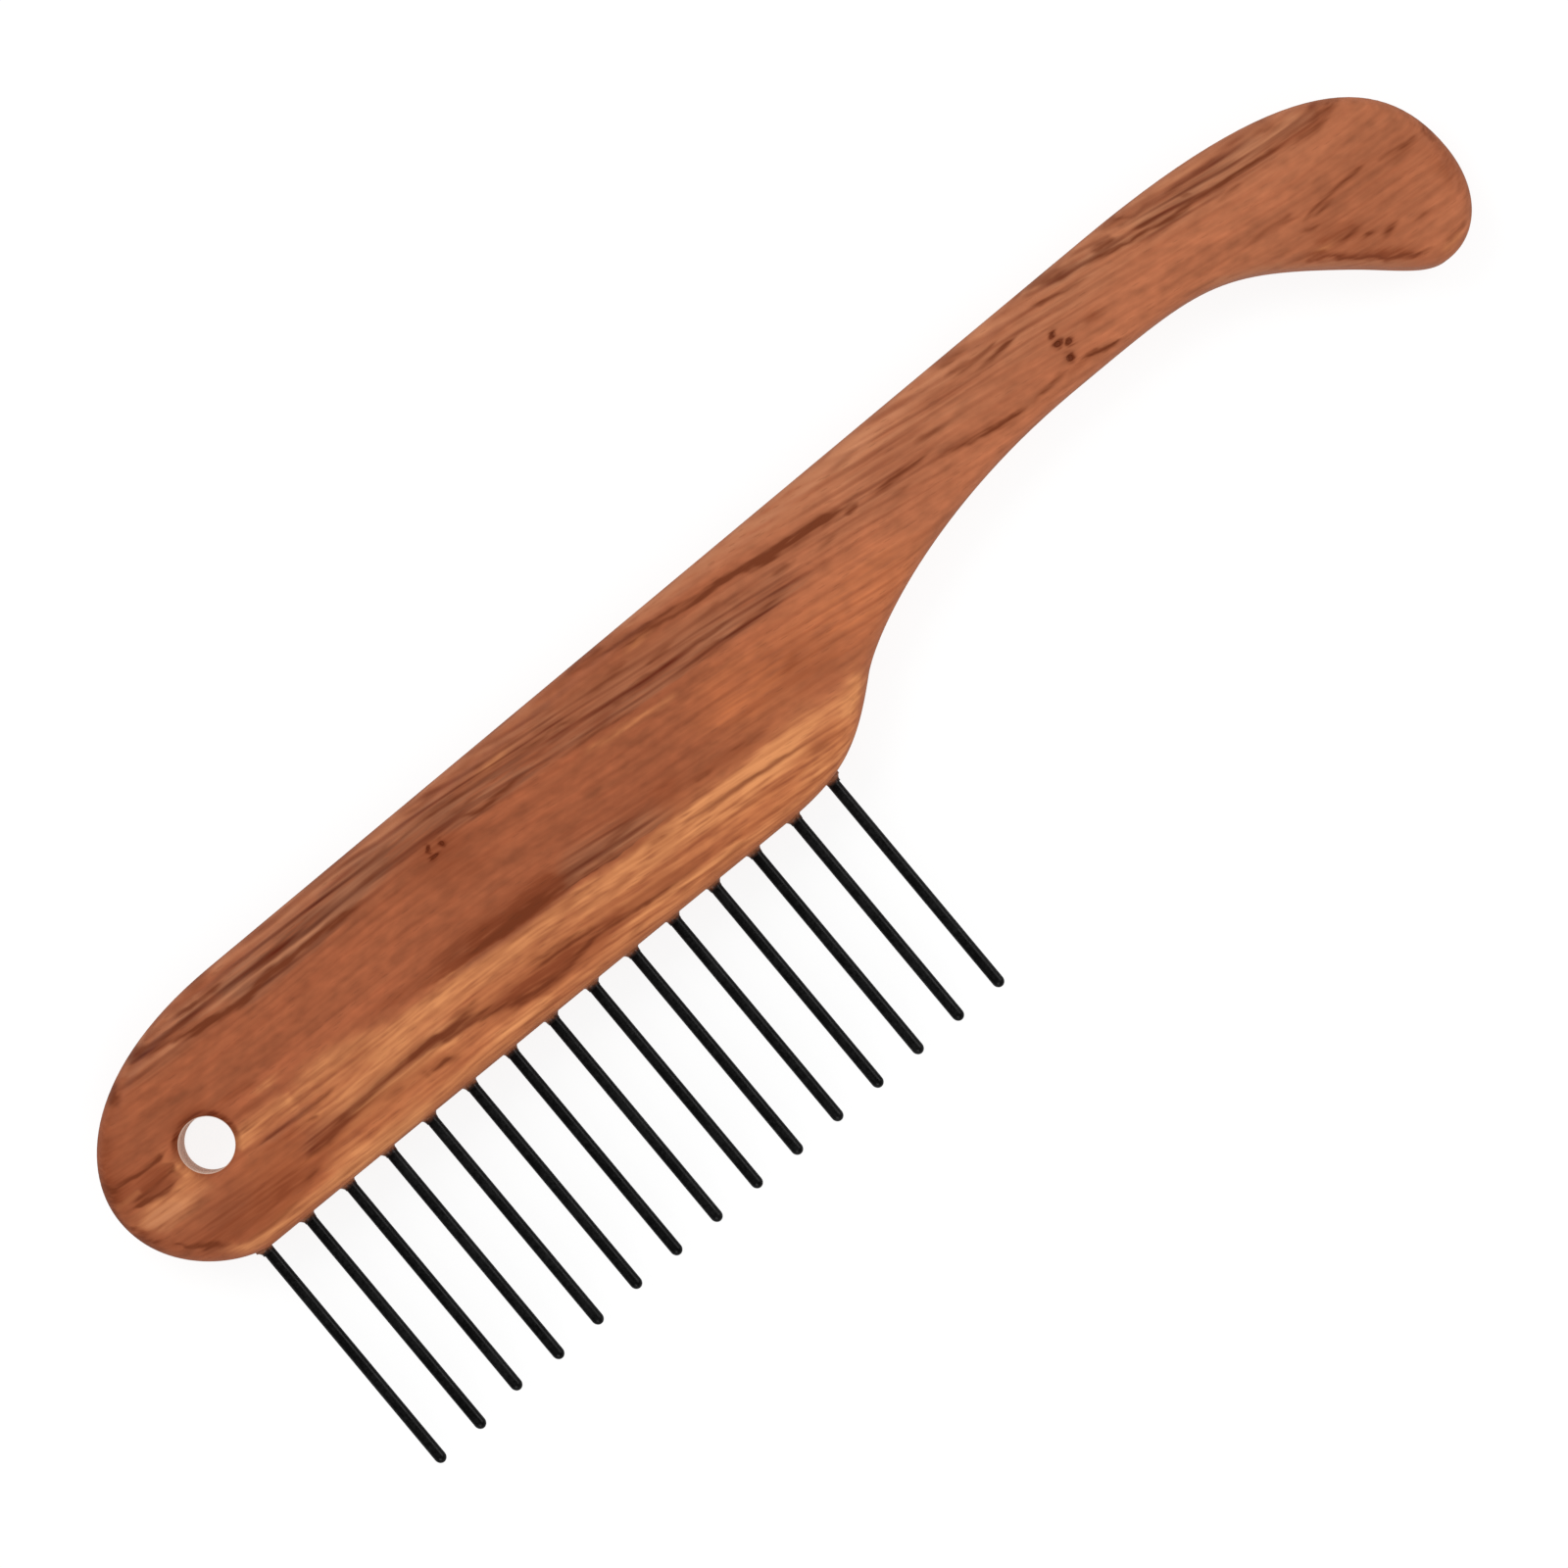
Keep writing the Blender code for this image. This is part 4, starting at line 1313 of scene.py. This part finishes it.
def hand_over(obj: bpy.types.Object, node: str, material: bpy.types.Material) -> None:
    """Dresses a finished piece and puts it in a solid's place.

    Args:
        obj: The piece.
        node: The solid that it stands for.
        material: Its finish.
    """
    obj.data.materials.clear()
    obj.data.materials.append(material)
    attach(obj, BODY)
    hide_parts(node)
    LOG.info("%s: %d faces, %s", obj.name, len(obj.data.polygons), material.name)


@dataclass
class Handle:
    """The one-piece wooden handle: the head that carries the pins, and the grip."""

    board: Board
    finish: Hardwood
    outline: tuple[Knot, ...] = (
        Knot(32.8, 0.0, 180.0, 0.33, 0.59),
        Knot(0.0, 19.9, 90.0, 0.25, 0.45),
        Knot(15.2, 36.2, 0.489, 0.24, 0.33),
        Knot(108.9, 37.0, 0.489, 0.33, 0.44),
        Knot(132.2, 28.2, -41.6, 0.43, 0.11),
        Knot(180.9, 15.8, 0.0, 0.53, 0.55),
        Knot(222.6, 27.7, 39.0, 0.45, 0.45),
        Knot(234.1, 35.6, 0.0, 0.25, 0.35),
        Knot(243.8, 23.0, -90.0, 0.47, 0.27),
        Knot(195.9, 0.0, 180.0, 0.70, 0.33),
    )
    outline_steps: int = 30
    outline_weld: float = 0.01 * MM
    edge_round: float = 3.0 * MM
    edge_steps: int = 10
    hem: float = 0.3 * MM
    strip: float = 4.0
    strip_weld: float = 0.02 * MM
    hole_round: float = 0.9 * MM
    hole_round_steps: int = 8
    hole_steps: int = 72
    cutter_past: float = 2.0 * MM
    weld: float = 0.001 * MM
    crease: float = math.radians(40)

    def build(self, drills: list[bpy.types.Object]) -> bpy.types.Object:
        """Builds the handle.

        Args:
            drills: The cutters of the holes that the pins sit in, which are used up.

        Returns:
            The handle.
        """
        shape = self.prism()
        self.round_edges(shape)
        self.plank_faces(shape)
        handle = new_object("handle_wood", shape)
        cutters = [*drills, self.hole_cutter(), *(self.pit_cutter(pit) for pit in PITS)]
        for cutter in cutters:
            cut = handle.modifiers.new(cutter.name, "BOOLEAN")
            cut.operation = "DIFFERENCE"
            cut.solver = "EXACT"
            cut.object = cutter
        apply_modifiers(handle)
        for cutter in cutters:
            bpy.data.objects.remove(cutter, do_unlink=True)
        self.smooth(handle)
        hand_over(handle, "handle", self.finish.build())
        return handle

    def guide(self) -> bpy.types.Object:
        """Draws the outline as a closed curve.

        Returns:
            The curve on the resting face, with each knot's handles as its heading and pulls say.
        """
        curve = bpy.data.curves.new("handle_outline", "CURVE")
        curve.dimensions = "2D"
        curve.fill_mode = "NONE"
        curve.resolution_u = self.outline_steps
        spline = curve.splines.new("BEZIER")
        spline.bezier_points.add(len(self.outline) - 1)
        spline.use_cyclic_u = True
        spots = [Vector((knot.along, knot.depth)) for knot in self.outline]
        for index, (knot, point) in enumerate(zip(self.outline, spline.bezier_points)):
            spot = spots[index]
            turn = math.radians(knot.heading)
            ahead = Vector((math.cos(turn), math.sin(turn)))
            pull_in = (spot - spots[index - 1]).length * knot.pull_in
            pull_out = (spots[(index + 1) % len(spots)] - spot).length * knot.pull_out
            point.handle_left_type = "FREE"
            point.handle_right_type = "FREE"
            point.co = self.board.place(*spot)
            point.handle_left = self.board.place(*(spot - ahead * pull_in))
            point.handle_right = self.board.place(*(spot + ahead * pull_out))
        return add_to_scene("handle_outline", curve)

    def prism(self) -> bmesh.types.BMesh:
        """Sweeps the outline up through the board's thickness.

        Returns:
            A straight-sided shape with one face on each side.
        """
        guide = self.guide()
        flat = finished_mesh(guide)
        bpy.data.objects.remove(guide, do_unlink=True)
        shape = bmesh.new()
        shape.from_mesh(flat)
        bpy.data.meshes.remove(flat)
        bmesh.ops.remove_doubles(shape, verts=shape.verts, dist=self.outline_weld)
        face = bmesh.ops.contextual_create(shape, geom=shape.edges)["faces"]
        lifted = bmesh.ops.extrude_face_region(shape, geom=face)["geom"]
        rim = [item for item in lifted if isinstance(item, bmesh.types.BMVert)]
        bmesh.ops.translate(shape, verts=rim, vec=(0.0, 0.0, self.board.thickness))
        bmesh.ops.recalc_face_normals(shape, faces=shape.faces)
        return shape

    def caps(self, shape: bmesh.types.BMesh) -> list[bmesh.types.BMFace]:
        """Finds the two flat faces of the board."""
        return sorted(shape.faces, key=lambda face: face.calc_area())[-2:]

    def round_edges(self, shape: bmesh.types.BMesh) -> None:
        """Rounds the long edges over on both sides.

        Args:
            shape: The straight-sided shape.
        """
        rims = {edge for face in self.caps(shape) for edge in face.edges}
        bmesh.ops.bevel(
            shape,
            geom=list(rims),
            offset=self.edge_round,
            offset_type="OFFSET",
            segments=self.edge_steps,
            profile=0.5,
            affect="EDGES",
            clamp_overlap=False,
            material=-1,
        )

    def plank_faces(self, shape: bmesh.types.BMesh) -> None:
        """Gives each flat face a narrow hem and cuts it into short strips.

        Args:
            shape: The board with its edges rounded.
        """
        rims = self.caps(shape)
        bmesh.ops.inset_region(shape, faces=rims, thickness=self.hem, use_even_offset=True)
        flats = self.caps(shape)
        length = max(knot.along for knot in self.outline)
        for count in range(1, int(length / self.strip)):
            edges = {edge for face in flats for edge in face.edges}
            verts = {vert for edge in edges for vert in edge.verts}
            cut = bmesh.ops.bisect_plane(
                shape,
                geom=[*verts, *edges, *flats],
                dist=self.strip_weld,
                plane_co=self.board.place(count * self.strip, 0.0),
                plane_no=(1.0, 0.0, 0.0),
            )
            kept = [item for item in cut["geom"] if isinstance(item, bmesh.types.BMFace)]
            flats = [face for face in kept if face.is_valid]

    def hole_cutter(self) -> bpy.types.Object:
        """Turns the cutter of the hanging hole, with its rounded rims.

        Returns:
            The cutter.
        """
        middle = self.board.thickness / 2
        past = middle + self.cutter_past
        radius, rim = HANGING_HOLE.radius * MM, self.hole_round
        upper = [
            (radius + rim * (1 - math.sin(turn)), middle - rim * (1 - math.cos(turn)))
            for turn in quarter_arc(self.hole_round_steps)
        ]
        lower = [(reach, -height) for reach, height in reversed(upper)]
        mouth = radius + rim
        profile = [(0.0, past), (mouth, past), *upper, *lower, (mouth, -past), (0.0, -past)]
        shape = turned(profile, self.hole_steps)
        spot = self.board.place(HANGING_HOLE.along, HANGING_HOLE.depth, middle)
        bmesh.ops.translate(shape, verts=shape.verts, vec=spot)
        return new_object("hanging_hole_cutter", shape)

    def pit_cutter(self, pit: Pit) -> bpy.types.Object:
        """Makes the cutter of one small torn-out hollow.

        Args:
            pit: The hollow.

        Returns:
            The cutter.
        """
        shape = bmesh.new()
        bmesh.ops.create_icosphere(shape, subdivisions=2, radius=1.0)
        size = Vector((pit.half_length, pit.half_depth, pit.sink)) * MM
        spot = self.board.place(pit.along, pit.depth, self.board.thickness)
        bmesh.ops.transform(shape, verts=shape.verts, matrix=Matrix.LocRotScale(spot, None, size))
        return new_object("pit_cutter", shape)

    def smooth(self, handle: bpy.types.Object) -> None:
        """Shades the handle smoothly, its flat faces staying flat.

        Args:
            handle: The cut handle.
        """
        shape = bmesh.new()
        shape.from_mesh(handle.data)
        bmesh.ops.remove_doubles(shape, verts=shape.verts, dist=self.weld)
        bmesh.ops.triangulate(shape, faces=[face for face in shape.faces if len(face.verts) > 4])
        shape.to_mesh(handle.data)
        shape.free()
        soften(handle, self.crease)
        weigh = handle.modifiers.new("flat_faces_lead", "WEIGHTED_NORMAL")
        weigh.keep_sharp = True
        weigh.weight = 100
        apply_modifiers(handle)


@dataclass
class Pin:
    """A straight round pin with a domed tip, its shank seated in the head."""

    number: int
    steps: int = 32
    shank_rings: int = 6
    dome_steps: int = 8
    dome: float = 1.0 * MM
    chamfer: float = 0.3 * MM
    seat_gap: float = 0.05 * MM
    seat_past: float = 0.3 * MM
    crease: float = math.radians(35)

    @property
    def node(self) -> str:
        """The pin's solid."""
        return f"pin_{self.number:02d}"

    def axis(self) -> tuple[Vector, float, float]:
        """Reads the pin off its solid.

        Returns:
            The hidden end of its axis, its length and its radius.
        """
        low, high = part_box(self.node)
        start = Vector(((low.x + high.x) / 2, high.y, (low.z + high.z) / 2))
        return start, high.y - low.y, (high.x - low.x) / 2

    def stand(self, shape: bmesh.types.BMesh, spot: Vector) -> None:
        """Turns a shape from +Z to the way the pins point, and puts it in place."""
        turn = Matrix.Rotation(math.pi / 2, 4, "X")
        bmesh.ops.transform(shape, verts=shape.verts, matrix=Matrix.Translation(spot) @ turn)

    def build(self, material: bpy.types.Material) -> bpy.types.Object:
        """Builds the pin.

        Args:
            material: Its finish.

        Returns:
            The pin.
        """
        start, length, radius = self.axis()
        shoulder = length - self.dome
        dome = [
            (radius * math.sin(turn), shoulder + self.dome * math.cos(turn))
            for turn in quarter_arc(self.dome_steps)
        ]
        shank = [
            (radius, shoulder + (self.chamfer - shoulder) * ring / self.shank_rings)
            for ring in range(1, self.shank_rings + 1)
        ]
        profile = [*dome, *shank, (radius - self.chamfer, 0.0), (0.0, 0.0)]
        shape = turned(profile, self.steps)
        self.stand(shape, start)
        pin = new_object(f"{self.node}_coated", shape)
        soften(pin, self.crease)
        hand_over(pin, self.node, material)
        return pin

    def drill(self) -> bpy.types.Object:
        """Turns the cutter of the blind hole that the shank sits in.

        Returns:
            The cutter, which ends within the length of pin that shows.
        """
        start, length, radius = self.axis()
        size = radius + self.seat_gap
        shape = turned([(0.0, length / 2), (size, length / 2), (size, 0.0), (0.0, 0.0)], self.steps)
        self.stand(shape, start + Vector((0.0, self.seat_past, 0.0)))
        return new_object(f"{self.node}_drill", shape)


@dataclass
class Bead:
    """The flare of cured adhesive round the root of a pin."""

    pin: Pin
    dice: random.Random
    height: float = 0.9 * MM
    flare: float = 0.45 * MM
    least: float = 0.85
    most: float = 1.2
    lip: float = 0.06 * MM
    sink: float = 0.5 * MM
    bore_gap: float = 0.01 * MM
    slump_share: float = 0.10
    slump_from: float = 1.05 * MM
    steps: int = 32
    flare_steps: int = 9
    crease: float = math.radians(50)

    @property
    def node(self) -> str:
        """The bead's solid."""
        return f"bead_{self.pin.number:02d}"

    def build(self, material: bpy.types.Material) -> bpy.types.Object:
        """Builds the bead.

        Args:
            material: Its finish.

        Returns:
            The bead.
        """
        low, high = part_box(self.node)
        _, _, radius = self.pin.axis()
        bore = radius + self.bore_gap
        flare = self.flare * self.dice.uniform(self.least, self.most)
        foot = bore + self.lip + flare
        curl = [
            (foot - flare * math.sin(turn), self.height * (1 - math.cos(turn)))
            for turn in quarter_arc(self.flare_steps)
        ]
        profile = [(bore, self.height), *reversed(curl), (foot, -self.sink), (bore, -self.sink)]
        profile.append(profile[0])
        shape = turned(profile, self.steps)
        self.slump(shape)
        climb = shape.verts.layers.float.new(CLIMB)
        for vert in shape.verts:
            vert[climb] = max(0.0, vert.co.z / self.height)
        spot = Vector(((low.x + high.x) / 2, low.y + self.height, (low.z + high.z) / 2))
        self.pin.stand(shape, spot)
        bead = new_object(f"{self.node}_resin", shape)
        soften(bead, self.crease)
        hand_over(bead, self.node, material)
        return bead

    def slump(self, shape: bmesh.types.BMesh) -> None:
        """Lets the bead's foot run a little further on one side than on the other.

        Args:
            shape: The turned bead, its bore round the Z axis.
        """
        side = self.dice.uniform(0.0, math.tau)
        lean = Vector((math.cos(side), math.sin(side), 0.0)) * self.slump_share
        for vert in shape.verts:
            share = 1.0 - min(1.0, max(0.0, vert.co.z / self.height))
            arm = Vector((vert.co.x, vert.co.y, 0.0))
            if arm.length > self.slump_from:
                vert.co += arm * share * arm.normalized().dot(lean)


@dataclass(frozen=True)
class Softbox:
    """A square softbox that faces the comb: its place and side in metres, its power in watts."""

    name: str
    spot: Triple
    size: float
    power: float

    def hang(self) -> None:
        """Hangs the softbox in its place."""
        data = bpy.data.lights.new(self.name, "AREA")
        data.shape = "SQUARE"
        data.size = self.size
        data.energy = self.power
        lamp = add_to_scene(self.name, data)
        lamp.location = self.spot
        lamp.rotation_euler = (-Vector(self.spot)).to_track_quat("-Z", "Y").to_euler()


@dataclass
class Studio:
    """The pale floor, the soft light and the camera of the photograph."""

    board: Board
    roll: float = math.radians(-39.8)
    aim: Pair = (112.9, 32.45)
    distance: float = 1.0
    frame_width: float = 223.25 * MM
    sensor: float = 36.0
    floor_size: float = 6.0
    floor_drop: float = 0.2 * MM
    floor_colour: Colour = (0.18, 0.18, 0.18)
    floor_glow: float = 0.86
    floor_gloss: float = 0.25
    world_light: float = 0.58
    world_gloss: float = 0.06
    world_seen: float = 1.0
    softboxes: tuple[Softbox, ...] = (
        Softbox("softbox_back", (-0.25, 1.0, 1.25), 0.9, 8.7),
        Softbox("softbox_front", (-0.7, -0.95, 0.9), 0.7, 3.6),
        Softbox("softbox_right", (1.0, -0.15, 0.75), 0.6, 2.4),
    )

    def build(self) -> None:
        """Builds the floor, the light and the camera."""
        self.floor()
        self.world()
        for softbox in self.softboxes:
            softbox.hang()
        self.camera()
        bpy.context.scene.view_settings.view_transform = "Standard"

    @staticmethod
    def dimmed(graph: Graph, plain: float, mirrored: float) -> tuple[bpy.types.Node, Wire]:
        """Makes a strength that is lower where a glossy surface mirrors it.

        Args:
            graph: Where the nodes go.
            plain: The strength.
            mirrored: The strength in a mirror.

        Returns:
            The Light Path node and the strength.
        """
        path = graph.add("ShaderNodeLightPath")
        glossy = Wire(graph, path.outputs["Is Glossy Ray"])
        return path, graph.remap(glossy, 0.0, 1.0, plain, mirrored, curve="LINEAR")

    def floor(self) -> None:
        """Lays the pale floor that gives the white background and keeps the comb's shadow."""
        shape = bmesh.new()
        bmesh.ops.create_grid(shape, x_segments=1, y_segments=1, size=self.floor_size)
        bmesh.ops.translate(shape, verts=shape.verts, vec=(0.0, 0.0, -self.floor_drop))
        floor = new_object("floor", shape)
        material, graph = new_material("pale_floor")
        material.node_tree.nodes.clear()
        matt = graph.read("ShaderNodeBsdfDiffuse", 0, self.floor_colour)
        _, level = self.dimmed(graph, self.floor_glow, self.floor_gloss)
        glow = graph.add("ShaderNodeEmission", {"Strength": level})
        both = graph.read("ShaderNodeAddShader", 0, matt, Wire(graph, glow.outputs[0]))
        graph.add("ShaderNodeOutputMaterial", {"Surface": both})
        floor.data.materials.append(material)

    def world(self) -> None:
        """Surrounds the comb with even pale light."""
        world = bpy.data.worlds.new("studio")
        bpy.context.scene.world = world
        world.use_nodes = True
        graph = Graph(world.node_tree)
        path, level = self.dimmed(graph, self.world_light, self.world_gloss)
        seen = (path.outputs["Is Camera Ray"], path.outputs["Is Transmission Ray"])
        shown = graph.math("MAXIMUM", *(Wire(graph, ray) for ray in seen))
        ground = world.node_tree.nodes["Background"]
        graph.feed(ground.inputs["Color"], WHITE)
        strength = graph.remap(shown, 0.0, 1.0, level, self.world_seen, curve="LINEAR")
        graph.feed(ground.inputs["Strength"], strength)

    def camera(self) -> None:
        """Sets the camera straight above the comb, rolled as in the photograph."""
        data = bpy.data.cameras.new("camera")
        data.sensor_width = self.sensor
        data.lens = self.sensor * self.distance / self.frame_width
        camera = add_to_scene("camera", data)
        camera.location = self.board.place(*self.aim, self.board.thickness + self.distance)
        camera.rotation_euler = (0.0, 0.0, self.roll)
        bpy.context.scene.camera = camera


def main() -> None:
    """Builds the comb and its studio, piece by piece."""
    logging.basicConfig(level=logging.INFO, format="%(message)s")
    board = Board.from_frame()
    groups = Groups.make()
    count = sum(name.startswith("pin_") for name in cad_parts)
    pins = [Pin(number) for number in range(1, count + 1)]
    Handle(board, Hardwood(board, groups)).build([pin.drill() for pin in pins])
    coating = PinCoating(groups).build()
    resin = Resin(groups).build()
    dice = random.Random(11)
    for pin in pins:
        pin.build(coating)
        Bead(pin, dice).build(resin)
    Studio(board).build()


if __name__ == "__main__":
    main()
